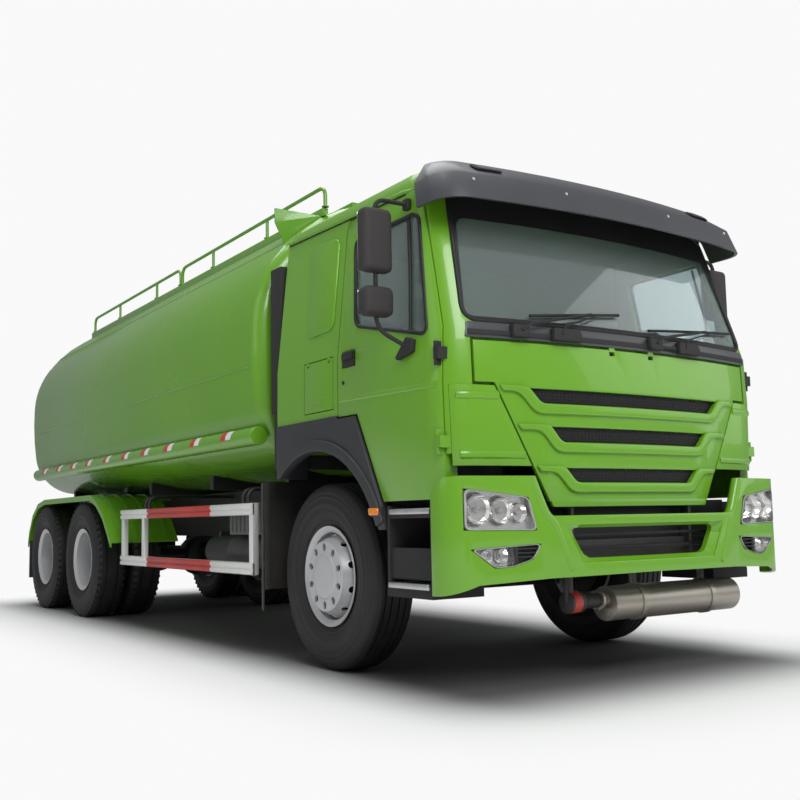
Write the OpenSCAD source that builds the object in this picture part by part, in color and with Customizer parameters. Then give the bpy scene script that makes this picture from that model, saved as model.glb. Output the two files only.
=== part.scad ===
// Six-by-four tanker truck with a tilting cab. Millimetres, +Z up, nose towards -Y.
// Heights are above the ground. Lengths along the truck are measured from the front axle.

/* [Wheels] */
// Distance from the front axle to the first rear axle
wheelbase = 4600; // [4300:50:5000]
// Distance between the two rear axles
tandem = 1350; // [1300:10:1450]
// Outer diameter of a tyre
tyre_d = 1085; // [1040:5:1100]
// Width of a tyre
tyre_w = 293; // [270:1:300]
// Diameter over the rim's lip
rim_lip_d = 584; // [570:1:600]
// Width of the rim between its lips
rim_w = 205; // [190:1:220]
// Distance between the front tyres' middle planes
front_track = 2010; // [1980:10:2040]
// Distance between the middles of the twin wheels
rear_track = 1860; // [1840:5:1870]
// Distance between the two tyres of a twin wheel
twin_gap = 340; // [330:1:350]
// Distance between the two kingpins
kingpin_track = 1640; // [1620:10:1660]

/* [Frame] */
// Width over the two frame rails
frame_w = 860; // [820:10:900]
// Height of a rail
rail_h = 300; // [260:10:320]
// Width of a rail's flange
rail_flange = 80; // [70:5:90]
// Thickness of the rail's steel
rail_t = 8; // [6:1:12]
// Height of the rails' top above the ground
frame_top = 1050; // [1040:5:1080]
// How far the rails reach ahead of the front axle
rail_front = 1190; // [1150:10:1200]
// How far the rails reach behind the last axle
rail_rear = 560; // [540:10:600]
// Height of the beams between the rails and the tank
subframe_h = 80; // [60:5:80]
// Diameter of the tow pin's bore
tow_bore_d = 50; // [40:1:60]

/* [Tank] */
// Distance of the tank's front from the front axle
tank_front = 760; // [740:5:800]
// Length over the tank's two heads
tank_l = 5860; // [5700:10:5900]
// Width of the tank
tank_w = 2444; // [2400:4:2460]
// Height of the tank's top
tank_top = 3190; // [3100:10:3250]
// Height of the tank's bottom
tank_bottom = 1150; // [1145:1:1160]
// Radius of the tank's top
tank_top_r = 1300; // [1250:10:1350]
// Radius of the tank's sides
tank_side_r = 3000; // [2800:50:3400]
// Radius of the tank's shoulders
tank_shoulder_r = 850; // [800:10:900]
// Radius of the tank's lower edges
tank_edge_r = 450; // [400:10:500]
// Radius of the tank's underside
tank_under_r = 4000; // [3800:50:4400]
// Diameter of the marker tube along the tank's side
side_tube_d = 124; // [110:2:130]
// Distance of a handrail from the tank's middle plane
handrail_x = 650; // [600:10:700]
// Rise of the handrails' top above the tank's top
handrail_rise = 46; // [30:2:70]
// Diameter of a handrail's tube
handrail_d = 28; // [24:1:34]
// Diameter of the manhole's neck
manhole_d = 500; // [450:10:560]
// Bore of the discharge outlet
outlet_d = 100; // [80:5:110]

/* [Cab] */
// Width of the cab below its windows
cab_w = 2400; // [2360:10:2430]
// Distance of the cab's front from the front axle
cab_front = 1400; // [1390:2:1410]
// Distance of the cab's back behind the front axle
cab_back = 500; // [480:5:520]
// Height of the cab's roof
cab_top = 2780; // [2760:5:2800]
// Height of the doors' lower edge
door_bottom = 960; // [955:5:980]
// Height of the cab floor's underside
floor_z = 1180; // [1170:5:1190]
// Thickness of the cab's walls and doors
wall_t = 55; // [50:1:60]
// Gap around a door
door_gap = 8; // [7:0.5:10]
// Radius of the front wheel arch
arch_r = 725; // [715:5:740]
// Thickness of the window glass
glass_t = 6; // [5:1:8]
// Diameter of the steering wheel
steering_wheel_d = 450; // [420:10:480]

/* [Bumper] */
// Width over the bumper
bumper_w = 2500; // [2480:5:2510]
// Distance of the bumper's front from the front axle
bumper_front = 1495; // [1485:5:1500]
// Distance of the bumper's rear edge from the front axle
bumper_rear = 1215; // [1205:5:1240]
// Thickness of the bumper's skin
bumper_t = 20; // [14:1:24]
// Diameter of the silencer under the bumper
silencer_d = 186; // [170:2:200]

/* [Hidden] */
$fn = 48;

green = [0.44, 0.68, 0.16];
dark = [0.12, 0.12, 0.13];
grey = [0.30, 0.30, 0.32];
steel = [0.66, 0.64, 0.60];
white = [0.92, 0.92, 0.90];
rubber = [0.07, 0.07, 0.07];
glass_tint = [0.35, 0.45, 0.45, 0.4];

// Running gap between a shaft and its hole, and the gap at which pieces of one body seat
run = 0.05;
seat = 0.3;
// Clear space around pieces that swing
swing = 6;

rear_end = tank_front + tank_l;
axle_y = -(rear_end - bumper_front) / 2;
axle_z = tyre_d / 2;
rear_1 = wheelbase;
rear_2 = wheelbase + tandem;
bogie_y = wheelbase + tandem / 2;
rail_end = rear_2 + rail_rear;
rail_bottom = frame_top - rail_h;
rail_x = frame_w / 2;
sub_top = frame_top + subframe_h;
front_wheel_x = front_track / 2;
kingpin_x = kingpin_track / 2;
twin_x = rear_track / 2;
outer_x = twin_x + twin_gap / 2;
inner_x = twin_x - twin_gap / 2;
body_x = outer_x + tyre_w / 2 + 3.5;

// Shifts what is drawn from the front axle into the truck's own frame
module placed() { translate([0, axle_y, 0]) children(); }
module pair() {
  children();
  mirror([1, 0, 0]) children();
}
// Box between two corners
module box(low, high) { translate(low) cube(high - low); }
// Outline in Y and Z, drawn out along X from x0 to x1
module along_x(x0, x1) { translate([x0, 0, 0]) rotate([90, 0, 90]) linear_extrude(x1 - x0) children(); }
// Outline in X and Z, drawn out along Y from y0 to y1
module along_y(y0, y1) { translate([0, y1, 0]) rotate([90, 0, 0]) linear_extrude(y1 - y0) children(); }
module rod_x(x0, x1, y, z, d) { translate([x0, y, z]) rotate([0, 90, 0]) cylinder(h = x1 - x0, d = d); }
module rod_y(y0, y1, x, z, d) { translate([x, y0, z]) rotate([-90, 0, 0]) cylinder(h = y1 - y0, d = d); }
module rod_z(z0, z1, x, y, d) { translate([x, y, z0]) cylinder(h = z1 - z0, d = d); }

function arc(c, r, a0, a1, n) = [for (i = [1:n]) c + r * [cos(a0 + (a1 - a0) * i / n), sin(a0 + (a1 - a0) * i / n)]];
function angle_of(v) = atan2(v[1], v[0]);
// Where two circles cross, on the side of the line a-b that sign picks
function meet(a, ra, b, rb, sign) =
  let (d = norm(b - a), m = (ra * ra - rb * rb + d * d) / (2 * d), h = sqrt(ra * ra - m * m), u = (b - a) / d)
  a + u * m + sign * h * [-u[1], u[0]];
function mirrored(pts) = concat(pts, [for (i = [len(pts) - 1:-1:0]) [-pts[i][0], pts[i][1]]]);

// The tank's section: top, shoulder, side, lower edge and underside are arcs that run into each other
tank_mid = 2040;
top_c = [0, tank_top - tank_top_r];
side_c = [tank_w / 2 - tank_side_r, tank_mid];
under_c = [0, tank_bottom + tank_under_r];
shoulder_c = meet(top_c, tank_top_r - tank_shoulder_r, side_c, tank_side_r - tank_shoulder_r, -1);
edge_c = meet(side_c, tank_side_r - tank_edge_r, under_c, tank_under_r - tank_edge_r, -1);
a_top = angle_of(shoulder_c - top_c);
a_shoulder = angle_of(shoulder_c - side_c);
a_edge = angle_of(edge_c - side_c);
a_under = angle_of(edge_c - under_c);
function tank_side(off) = concat(
  [top_c + (tank_top_r + off) * [cos(89.9), sin(89.9)]],
  arc(top_c, tank_top_r + off, 89.9, a_top, 7),
  arc(shoulder_c, tank_shoulder_r + off, a_top, a_shoulder, 6),
  arc(side_c, tank_side_r + off, a_shoulder, a_edge, 3),
  arc(edge_c, tank_edge_r + off, a_edge, a_under, 10),
  arc(under_c, tank_under_r + off, a_under, -89.9, 3));
module tank_section(off) { polygon(mirrored(tank_side(off))); }
function tank_z(x) = top_c[1] + sqrt(pow(tank_top_r, 2) - x * x);

// The cab's outline from above at one level: a bowed front, round front corners and straight sides
front_bow_r = 6100;
front_corner_r = 190;
function plan_side(half, front, back, corner, t) =
  let (bow_c = [0, -front + front_bow_r], r = corner - t,
    cc = [half - corner, bow_c[1] - sqrt(pow(front_bow_r - corner, 2) - pow(half - corner, 2))],
    a = angle_of(cc - bow_c))
  concat([for (i = [0:5]) bow_c + (front_bow_r - t) * [cos(-90 + (a + 90) * i / 5), sin(-90 + (a + 90) * i / 5)]],
    arc(cc, r, a, 0, 6), [[half - t, back - t]]);
module plan(half, front, back, corner, t) { polygon(mirrored(plan_side(half, front, back, corner, t))); }

// Levels of the cab's body: height, half width, front, back, corner radius
waist_z = 1800;
roof_edge_z = 2655;
// Beyond the cab's sides, and the walls of its wheel housings
wide = cab_w / 2 + 100;
wheelhouse_x = cab_w / 2 - 200;
cab_levels = [
  [door_bottom - 180, cab_w / 2 - 8, cab_front - 18, cab_back, front_corner_r],
  [1530, cab_w / 2, cab_front, cab_back, front_corner_r],
  [waist_z, cab_w / 2 - 3, cab_front - 10, cab_back, front_corner_r],
  [roof_edge_z, cab_w / 2 - 92, cab_front - 280, cab_back - 6, front_corner_r - 30],
  [roof_edge_z + 60, cab_w / 2 - 130, cab_front - 325, cab_back - 40, front_corner_r - 50],
  [cab_top, cab_w / 2 - 420, cab_front - 650, cab_back - 300, front_corner_r - 60]];
// The cab's whole body shrunk by t on every side
module cab_form(t) {
  hull() for (level = cab_levels) translate([0, 0, level[0] - (level[0] > roof_edge_z ? t : 0)])
    linear_extrude(0.01) plan(level[1], level[2], level[3], level[4], t);
}
// A skin of the cab between two depths, where the children overlap it
module cab_skin(t0, t1) {
  intersection() {
    difference() {
      cab_form(t0);
      cab_form(t1);
    }
    children();
  }
}

// Frame: channel rails, cross members, the front tow beam and the saddles that carry the tank
tow_beam_y = -1320;
tow_beam_z = 620;
tow_beam_h = 120;
tow_beam_w = 110;
tow_beam_x = 1100;
// The cab's tilting pivots: plates and pins on the frame, arms on the cab
pivot_x = 440;
pivot_y = -1335;
pivot_z = 915;
pivot_r = 18;
pivot_t = 20;
pivot_pin_d = 24;
cross_ys = [-700, 1300, 2200, 3500, bogie_y, rail_end - 60];
cross_z = rail_bottom + 190;
cross_h = 100;
saddle_ys = [tank_front + 240, 2300, 3700, 5100, rear_end - 500];
// Half width of a saddle: narrower between the fenders
function saddle_x(y) = y > rear_1 - 360 && y < rear_2 + 60 ? fender_in - 10 : 860;
module rail() {
  along_y(-rail_front, rail_end) difference() {
    translate([rail_x - rail_flange, rail_bottom]) square([rail_flange, rail_h]);
    translate([rail_x - rail_flange - 1, rail_bottom + rail_t]) square([rail_flange - rail_t + 1, rail_h - 2 * rail_t]);
  }
}
module frame() {
  color(dark) placed() {
    pair() {
      rail();
      box([rail_x - rail_flange, tank_front + 100, frame_top], [rail_x, rail_end, sub_top]);
      box([rail_x - rail_flange, -rail_front, tow_beam_z], [rail_x, -rail_front + 90, rail_bottom + 40]);
      box([rail_x - rail_flange, tow_beam_y + tow_beam_w, tow_beam_z], [rail_x, -rail_front + 1, tow_beam_z + tow_beam_h]);
      box([pivot_x, pivot_y - pivot_r, tow_beam_z + 20], [pivot_x + pivot_t, pivot_y + 45, pivot_z]);
      rod_x(pivot_x, pivot_x + pivot_t, pivot_y, pivot_z, 2 * pivot_r);
      rod_x(pivot_x + 5, pivot_x + 2 * pivot_t, pivot_y, pivot_z, pivot_pin_d);
      box([rail_x - rail_flange, cab_back - 120, frame_top - 1], [rail_x + 30, cab_back - 40, floor_z - seat]);
    }
    for (y = cross_ys) box([-rail_x + rail_t, y, cross_z], [rail_x - rail_t, y + 50, cross_z + cross_h]);
    difference() {
      box([-tow_beam_x, tow_beam_y, tow_beam_z], [tow_beam_x, tow_beam_y + tow_beam_w, tow_beam_z + tow_beam_h]);
      rod_z(tow_beam_z - 1, tow_beam_z + tow_beam_h + 1, 0, tow_beam_y + tow_beam_w / 2, tow_bore_d);
    }
    for (y = saddle_ys) along_y(y, y + 60) difference() {
      translate([-saddle_x(y), sub_top]) square([2 * saddle_x(y), 180]);
      tank_section(seat);
    }
  }
}

// Front axle: a beam with an eye for each kingpin, and its leaf springs
boss_h = 130;
fork_gap = 5;
spring_x = rail_x - 45;
module leaf_pack(y, z, length, leaves, step, up) {
  for (i = [0:leaves - 1]) box([spring_x - 40, y - length / 2 + i * step, z + up * i * 16], [spring_x + 40, y + length / 2 - i * step, z + up * i * 16 + 16.01]);
}
module front_axle() {
  color(dark) placed() {
    difference() {
      union() {
        box([-kingpin_x + 40, -45, axle_z - 55], [kingpin_x - 40, 45, axle_z + 45]);
        pair() rod_z(axle_z - boss_h / 2, axle_z + boss_h / 2, kingpin_x, 0, 100);
      }
      pair() rod_z(axle_z - boss_h, axle_z + boss_h, kingpin_x, 0, 44 + 2 * run);
    }
    pair() {
      leaf_pack(0, 690, 1600, 5, 150, -1);
      box([spring_x - 45, -90, axle_z + 44.9], [spring_x + 45, 90, 690 - 64 + 0.1]);
      for (y = [-790, 730]) box([spring_x - 30, y, 705], [spring_x + 30, y + 60, rail_bottom - seat]);
    }
  }
}

// Rear axles: round housings with a bulge in the middle, and the bogie's leaf springs on top of them
hub_pin_d = 90;
module rear_axles() {
  color(dark) placed() {
    for (y = [rear_1, rear_2]) {
      rod_x(-640, 640, y, axle_z, 150);
      pair() rod_x(600, outer_x - 40, y, axle_z, hub_pin_d);
      translate([0, y, axle_z]) rotate([90, 0, 0]) cylinder(h = 260, d = 400, center = true);
      rod_y(y - 300, y - 100, 0, axle_z + 40, 180);
    }
    pair() {
      leaf_pack(bogie_y, axle_z + 75, tandem + 180, 5, 150, 1);
      box([spring_x - 45, bogie_y - 110, axle_z - 60], [spring_x + 45, bogie_y + 110, axle_z + 75.1]);
      box([rail_x + seat, bogie_y - 90, axle_z - 60], [rail_x + 50, bogie_y + 90, rail_bottom + 120]);
      box([spring_x + 44, bogie_y - 90, axle_z - 60], [rail_x + 50, bogie_y + 90, axle_z + 20]);
    }
  }
}

// Engine: one plain block between the rails
engine_x = 330;
engine_y0 = -620;
engine_y1 = 700;
engine_top = 1420;
module engine() {
  color(grey) placed() {
    box([-engine_x, engine_y0, rail_bottom - 60], [engine_x, engine_y1, engine_top]);
    pair() box([engine_x - 1, -60, frame_top - 80], [rail_x - rail_flange - seat, 60, frame_top - 20]);
  }
}

// Gearbox and propeller shafts
module shaft_between(a, b, d) {
  v = b - a;
  translate(a) rotate([-angle_of([v[1], -v[2]]), 0, 0]) rotate([-90, 0, 0]) cylinder(h = norm(v), d = d);
}
module driveline() {
  color(grey) placed() {
    box([-230, engine_y1 + seat, rail_bottom - 70], [230, 1180, frame_top - 20]);
    rod_y(1179, 1290, 0, 860, 200);
    shaft_between([0, 1285, 860], [0, rear_1 - 320, axle_z + 60], 110);
    rod_y(rear_1 - 325, rear_1 - 300 - seat, 0, axle_z + 40, 160);
    rod_y(rear_1 + 130 + seat, rear_2 - 300 - seat, 0, axle_z + 40, 100);
  }
}

// Radiator behind the grille, on feet on the rails
radiator_x = 340;
module radiator() {
  color(dark) placed() {
    box([-radiator_x, -1130, 770], [radiator_x, -1010, 1400]);
    pair() box([radiator_x - 1, -1095, frame_top + seat], [rail_x - 20, -1045, frame_top + 30]);
  }
}

// Bumper: a bowed skin with cut-outs, and the stays that carry it on the tow beam
bumper_top = 1066;
bumper_mid_top = 868;
bumper_corner_r = 150;
opening = [[-600, 822], [600, 822], [500, 632], [-500, 632]];
headlamp = [[1172, 1006], [1172, 806], [772, 798], [818, 962]];
foglamp = [[1145, 716], [750, 734], [800, 660], [910, 630], [1015, 622]];
// What an open door's lower corner sweeps while the cab tilts, at the bumper's rear top corners
rear_notch = concat([[-bumper_rear + 2, bumper_top + 2], [-bumper_rear + 2, 981]],
  [[-1235, 1008], [-1260, 1029], [-1285, 1044], [-1312, bumper_top + 2]]);
module bumper_plan(t, back) {
  polygon(mirrored(plan_side(bumper_w / 2, bumper_front, -bumper_rear + t + back, bumper_corner_r, t)));
}
module bumper_face() {
  polygon(mirrored([[0, 568], [700, 562], [1100, 545], [bumper_w / 2 + 1, 495], [bumper_w / 2 + 1, 1060],
    [1190, bumper_top], [775, bumper_top], [690, bumper_mid_top], [0, bumper_mid_top]]));
}
module bumper() {
  color(green) placed() {
    difference() {
      intersection() {
        linear_extrude(1200) difference() {
          bumper_plan(0, 0);
          bumper_plan(bumper_t, 1);
        }
        along_y(-bumper_front - 1, -bumper_rear + 1) bumper_face();
      }
      along_x(-wide, wide) polygon(rear_notch);
      along_y(-bumper_front - 1, -1250) {
        polygon(opening);
        polygon(headlamp);
        polygon(foglamp);
        mirror([1, 0]) polygon(headlamp);
        mirror([1, 0]) polygon(foglamp);
      }
    }
    pair() {
      box([640, -bumper_front + 52, 640], [700, tow_beam_y - seat, 740]);
      box([640, -bumper_front + 44, 640], [700, -bumper_front + 60, 850]);
      along_x(bumper_w / 2 - 60, bumper_w / 2 - bumper_t + 1) translate([-1300, 640]) square([60, 80]);
      box([tow_beam_x + seat, -1300, 640], [bumper_w / 2 - 50, -1240, 720]);
    }
  }
}

// Lamps: lens blocks that follow the bumper's bow, a bezel gap inside its cut-outs, and the tail lamps
module bowed(t0, t1) {
  intersection() {
    linear_extrude(1200) difference() {
      bumper_plan(t0, 0);
      bumper_plan(t1, 1);
    }
    children();
  }
}
function shrunk(pts, k) = let (c = [for (i = [0, 1]) (max([for (p = pts) p[i]]) + min([for (p = pts) p[i]])) / 2])
  [for (p = pts) c + (p - c) * k];
module lamps() {
  color(white) placed() {
    pair() {
      bowed(4, 70) along_y(-bumper_front - 1, -1300) polygon(shrunk(headlamp, 0.992));
      bowed(6, 60) along_y(-bumper_front - 1, -1300) polygon(shrunk(foglamp, 0.985));
      box([760, rear_end - 38, bar_top + seat], [1120, rear_end - 4, bar_top + 100]);
    }
  }
}

// Steps under the doors, hung from the frame
step_x0 = 880;
step_front = -1150;
step_back = -745;
module steps() {
  color(dark) placed() pair() {
    box([step_x0, step_front, 470], [step_x0 + 20, step_back, 940]);
    for (y = [step_front, step_back - 20]) box([step_x0, y, 470], [1195, y + 20, 935]);
    box([step_x0, step_front, 470], [1200, step_back, 530]);
    box([step_x0, step_front + 10, 870], [1190, step_back - 10, 905]);
    box([rail_x + seat, -960, 800], [step_x0 + 1, -900, 860]);
  }
}

// Silencer across the front with its bands, hangers and inlet pipe
silencer_x0 = -140;
silencer_x1 = 870;
silencer_y = -1250;
silencer_z = 395;
module silencer() {
  color(steel) placed() {
    rod_x(silencer_x0, silencer_x1, silencer_y, silencer_z, silencer_d);
    for (x = [60, 620]) {
      rod_x(x, x + 40, silencer_y, silencer_z, silencer_d + 14);
      box([x, silencer_y - 10, silencer_z + silencer_d / 2], [x + 40, silencer_y + 10, tow_beam_z - seat]);
    }
    rod_x(-300, silencer_x0 + 1, silencer_y, silencer_z + 20, 76);
    rod_x(-200, -180, silencer_y, silencer_z + 20, 110);
    rod_x(-420, -320, silencer_y, silencer_z + 20, 110);
    rod_x(-325, -299, silencer_y, silencer_z + 20, 60);
    rod_z(silencer_z + 20, tow_beam_z - seat, -400, silencer_y, 50);
  }
}

// Side guards with their bent stays
guard_x = 1200;
guard_t = 40;
guard_top = 992;
guard_bottom = 520;
guard_y0 = 864;
guard_y1 = rear_1 - 1090;
module bent_stay(y) {
  r = 60;
  d = 26;
  z = frame_top + 40;
  x = guard_x - guard_t / 2;
  rod_z(guard_top - 1, z - r, x, y, d);
  translate([x - r, y, z - r]) rotate([90, 0, 0]) rotate_extrude(angle = 90, $fn = 24) translate([r, 0]) circle(d = d, $fn = 16);
  rod_x(rail_x + seat, x - r, y, z, d);
}
module side_guards() {
  color(white) placed() pair() {
    for (z = [guard_bottom, guard_top - 80]) box([guard_x - guard_t, guard_y0, z], [guard_x, guard_y1, z + 80]);
    for (y = [guard_y0, guard_y1 - 60]) box([guard_x - guard_t, y, guard_bottom], [guard_x, y + 60, guard_top]);
    box([guard_x - guard_t, guard_y1 - 560, guard_bottom], [guard_x - 5, guard_y1 - 500, guard_top]);
    for (y = [guard_y0 + 110, guard_y0 + 190, guard_y1 - 640, guard_y1 - 560]) bent_stay(y);
  }
}

// Battery box with a ribbed cover, on the right
module battery_box() {
  color(grey) placed() {
    box([-1080, 960, 780], [-560, 1500, 980]);
    for (i = [0:7]) box([-1080, 975 + i * 66, 979], [-560, 1005 + i * 66, 1000]);
    for (i = [0:7]) box([-1092, 975 + i * 66, 800], [-1079, 1005 + i * 66, 1000]);
    box([-561, 1180, 800], [-rail_x - seat, 1280, 860]);
  }
}

// Air tanks lying under the battery box and behind it
module air_tanks() {
  color(grey) placed() {
    rod_y(980, 1560, -960, 660, 236);
    rod_y(1640, 2500, -720, 640, 250);
    for (y = [1040, 1460]) box([-975, y, 777], [-945, y + 40, 780 - seat]);
    for (y = [1040, 1460]) box([-980, y, 740], [-940, y + 40, 779]);
    for (y = [1720, 2380]) box([-760, y, 750], [-rail_x - seat, y + 40, 800]);
  }
}

// Fuel tank on the left
module fuel_tank() {
  color(steel) placed() {
    along_x(560, 1120) polygon([[1050, 560], [1100, 520], [1750, 520], [1800, 560], [1800, 980], [1750, 1020], [1100, 1020], [1050, 980]]);
    for (y = [1200, 1620]) box([rail_x + seat, y, 560], [561, y + 60, 900]);
    rod_z(1019, 1050, 1000, 1250, 100);
  }
}

// Rear fenders over the twin wheels
fender_in = 620;
fender_t = 12;
fender_top = 1148;
fender_line = [[rear_1 - 930, 720], [rear_1 - 840, 827], [rear_1 - 690, 975], [rear_1 - 500, 1090], [rear_1 - 310, fender_top],
  [rear_2 - 40, fender_top], [rear_2 + 230, 1108], [rear_2 + 450, 985], [rear_2 + 590, 800], [rear_2 + 630, 690]];
module fender_sheet(out, t) {
  polygon(concat([for (p = fender_line) p + [0, out]], [for (i = [len(fender_line) - 1:-1:0]) fender_line[i] + [0, out - t * 1.3]]));
}
module rear_fenders() {
  color(green) placed() pair() {
    along_x(fender_in, body_x) fender_sheet(0, fender_t);
    along_x(body_x - 14, body_x) fender_sheet(0, 40);
    for (x = [fender_in + 80:140:body_x - 60]) along_x(x, x + 24) fender_sheet(8, 10);
    for (y = [rear_1 - 250, rear_2 - 100]) box([rail_x + seat, y, fender_top - 50], [fender_in + 20, y + 60, fender_top - 15]);
  }
}

// Mudguards behind the front wheels and flaps behind the twin wheels
guard_y = 657;
module mudguards() {
  color(rubber) placed() pair() {
    box([640, guard_y, 440], [1200, guard_y + 18, 1120]);
    box([1180, guard_y - 6, 440], [1206, guard_y + 24, 1120]);
    box([rail_x + seat, guard_y + 2, 900], [641, guard_y + 16, 1000]);
    box([inner_x - tyre_w / 2, rear_2 + 606, 300], [body_x - 14 - seat, rear_2 + 618, 707 - seat]);
  }
}

// Rear bar under the tank's end, with its brackets from the rails
bar_y = rear_end - 44;
bar_bottom = 380;
bar_top = 480;
module rear_bar() {
  color(dark) placed() {
    box([-1150, bar_y, bar_bottom], [1150, rear_end - 4, bar_top]);
    pair() {
      box([rail_x - 60, rail_end - 100, bar_bottom], [rail_x - 12, bar_y + 1, bar_top]);
      box([rail_x - 60, rail_end - 100, bar_bottom], [rail_x - 12, rail_end - 39, rail_bottom - seat]);
    }
  }
}

// Tank: a solid drum of constant section with dished ends
head_steps = [[0, 100], [12, 62], [40, 30], [85, 12], [200, 3], [400, 0]];
module tank() {
  color(green) placed() hull() for (s = head_steps) {
    translate([0, tank_front + s[1] + 0.01, 0]) rotate([90, 0, 0]) linear_extrude(0.01) tank_section(-s[0]);
    translate([0, rear_end - s[1], 0]) rotate([90, 0, 0]) linear_extrude(0.01) tank_section(-s[0]);
  }
}

// Marker tubes along the tank's lower edges
tube_a = a_edge + (a_under - a_edge) * 3 / 10;
tube_c = edge_c + (tank_edge_r + seat + side_tube_d / 2) * [cos(tube_a), sin(tube_a)];
module side_tubes() {
  color(green) placed() pair() rod_y(tank_front + 20, rear_end - 250, tube_c[0], tube_c[1], side_tube_d);
}

// Walkway, coamings, front gussets and manhole neck on top of the tank
manhole_y = 3500;
neck_top = tank_top + 70;
lid_t = 24;
module walkway() {
  color(green) placed() {
    along_y(tank_front + 220, rear_end - 260) difference() {
      translate([-330, tank_z(330) - 20]) square([660, tank_top - tank_z(330) + 34]);
      tank_section(seat);
    }
    pair() along_y(tank_front + 60, rear_end - 400) difference() {
      translate([handrail_x - 22, tank_z(handrail_x + 22) - 40]) square([44, 100]);
      tank_section(seat);
    }
    pair() along_y(tank_front + 110, tank_front + 122) difference() {
      polygon([[handrail_x + 22, tank_top - 172], [1020, tank_top - 172], [1020, tank_top - 270], [910, tank_top - 490], [handrail_x + 22, tank_top - 490]]);
      tank_section(seat);
    }
    rod_z(tank_top + 13, neck_top, 0, manhole_y, manhole_d);
    box([-40, manhole_y + manhole_d / 2 - 2, tank_top + 13], [40, manhole_y + manhole_d / 2 + 36, neck_top - 6]);
  }
}

// Handrails along the tank's top
handrail_top = tank_top + handrail_rise;
foot_z = tank_z(handrail_x + 22) + 60 + seat;
handrails = [[tank_front + 60, 3500, [1740, 2790]], [3545, rear_end - 460, [4170, 5280]]];
module handrail(y0, y1, posts) {
  z = handrail_top - handrail_d / 2;
  rod_y(y0 - handrail_d / 2, y1 + handrail_d / 2, handrail_x, z, handrail_d);
  for (y = concat([y0, y1], posts)) rod_z(foot_z, z, handrail_x, y, handrail_d - 4);
}
module handrails() {
  color(green) placed() {
    pair() for (rail = handrails) handrail(rail[0], rail[1], rail[2]);
  }
}

// Discharge pipe: down from the tank, an elbow and a flange that faces the rear
outlet_y = rail_end - 170;
outlet_z = 620;
outlet_r = 90;
flange_y = rear_end - 22;
module discharge_pipe() {
  wall = outlet_d + 14;
  color(green) placed() difference() {
    union() {
      rod_z(outlet_z + outlet_r, tank_bottom - seat, 0, outlet_y - outlet_r, wall);
      translate([0, outlet_y, outlet_z + outlet_r]) rotate([0, 90, 0]) rotate([0, 0, 270]) rotate_extrude(angle = 90) translate([outlet_r, 0]) circle(d = wall);
      rod_y(outlet_y, flange_y, 0, outlet_z, wall);
      rod_y(flange_y - 20, flange_y, 0, outlet_z, 220);
      rod_y(outlet_y + 60, outlet_y + 100, 0, outlet_z, 190);
    }
    rod_y(outlet_y + 20, flange_y + 1, 0, outlet_z, outlet_d);
    for (i = [0:7]) rod_y(flange_y - 21, flange_y + 1, 90 * cos(22.5 + 45 * i), outlet_z + 90 * sin(22.5 + 45 * i), 18);
  }
}

// Air intake tower behind the cab
module air_intake() {
  color(rubber) placed() {
    box([-1150, cab_back + 40, 1560], [-1010, cab_back + 190, 2520]);
    box([-1150, cab_back + 40, 1200], [-rail_x + rail_flange, cab_back + 150, 1330]);
    box([-1150, cab_back + 40, 1329], [-1030, cab_back + 150, 1561]);
    box([-rail_x, cab_back + 60, frame_top + seat], [-rail_x + rail_flange, cab_back + 130, 1201]);
  }
}

// Manhole lid on its rear hinge
module manhole_lid() {
  color(green) placed() {
    rod_z(neck_top + seat, neck_top + lid_t, 0, manhole_y, manhole_d + 30);
    box([-30, manhole_y + manhole_d / 2 - 2, neck_top + seat], [30, manhole_y + manhole_d / 2 + 40, neck_top + lid_t]);
    rod_x(-60, 60, manhole_y - manhole_d / 2 + 60, neck_top + lid_t + 8, 20);
  }
}

// Cab openings. Door outline in Y and Z; e widens it by the door gap
door_front = 1222;
door_back = 262;
sill_z = 1452;
flare_top = 1460;
module door_outline(e) {
  polygon([[-door_back + e, sill_z - e], [-door_back + e, 2560], [-door_back - 30 + e, 2604 + e], [-975 - e, 2604 + e], [-door_front - e, waist_z + 10],
    [-door_front - e, door_bottom - e], [-716 + e, door_bottom - e], [-466 + e, sill_z - e]]);
}
module rounded(pts, r) { hull() for (p = pts) translate(p) circle(r = r, $fn = 16); }
window_r = 40;
door_window = [[-470, 1990], [-1105, 1826], [-945, 2428], [-400, 2428]];
screen_low_x = cab_w / 2 - 190;
screen_top_x = cab_w / 2 - 270;
module windscreen_outline(e) { rounded([[-screen_low_x, 1910], [screen_low_x, 1910], [screen_top_x, 2545], [-screen_top_x, 2545]], 60 - e); }
module hatch_outline(e) { translate([-200 - e, 1505 - e]) square([340 + 2 * e, 300 + 2 * e]); }
// Half outline of the front flap in X and Z; e widens it
flap_top = 1748;
flap_mid = 1537;
flap_bottom = 940;
flap_x = cab_w / 2 - 170;
flap_low_x = cab_w / 2 - 600;
module flap_outline(e) {
  polygon(mirrored([[0, flap_bottom - e], [flap_low_x + e, flap_bottom - e], [flap_x - 112 + e, flap_mid - e], [flap_x + e, flap_mid - e], [flap_x + e, flap_top + e], [0, flap_top + e]]));
}
module arch_hole(r) { rod_x(-wide, wide, 0, axle_z, 2 * r); }
tunnel_x = 400;

// Hinges: the doors' in front, the flap's and the hatches' along their top edges
door_hinge_x = cab_w / 2 - 4;
door_hinge_y = -1216;
door_hinge_zs = [1210, 1650];
hinge_h = 60;
hatch_hinge_x = cab_w / 2 - 6;
hatch_hinge_z = 1799;
hatch_hinge_ys = [-165, 85];
flap_hinge_x = 150;
flap_hinge_y = -1385;
flap_hinge_z = 1742;
panel_y = 1250;
panel_top = 1522;
panel_bottom = 1120;

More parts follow.
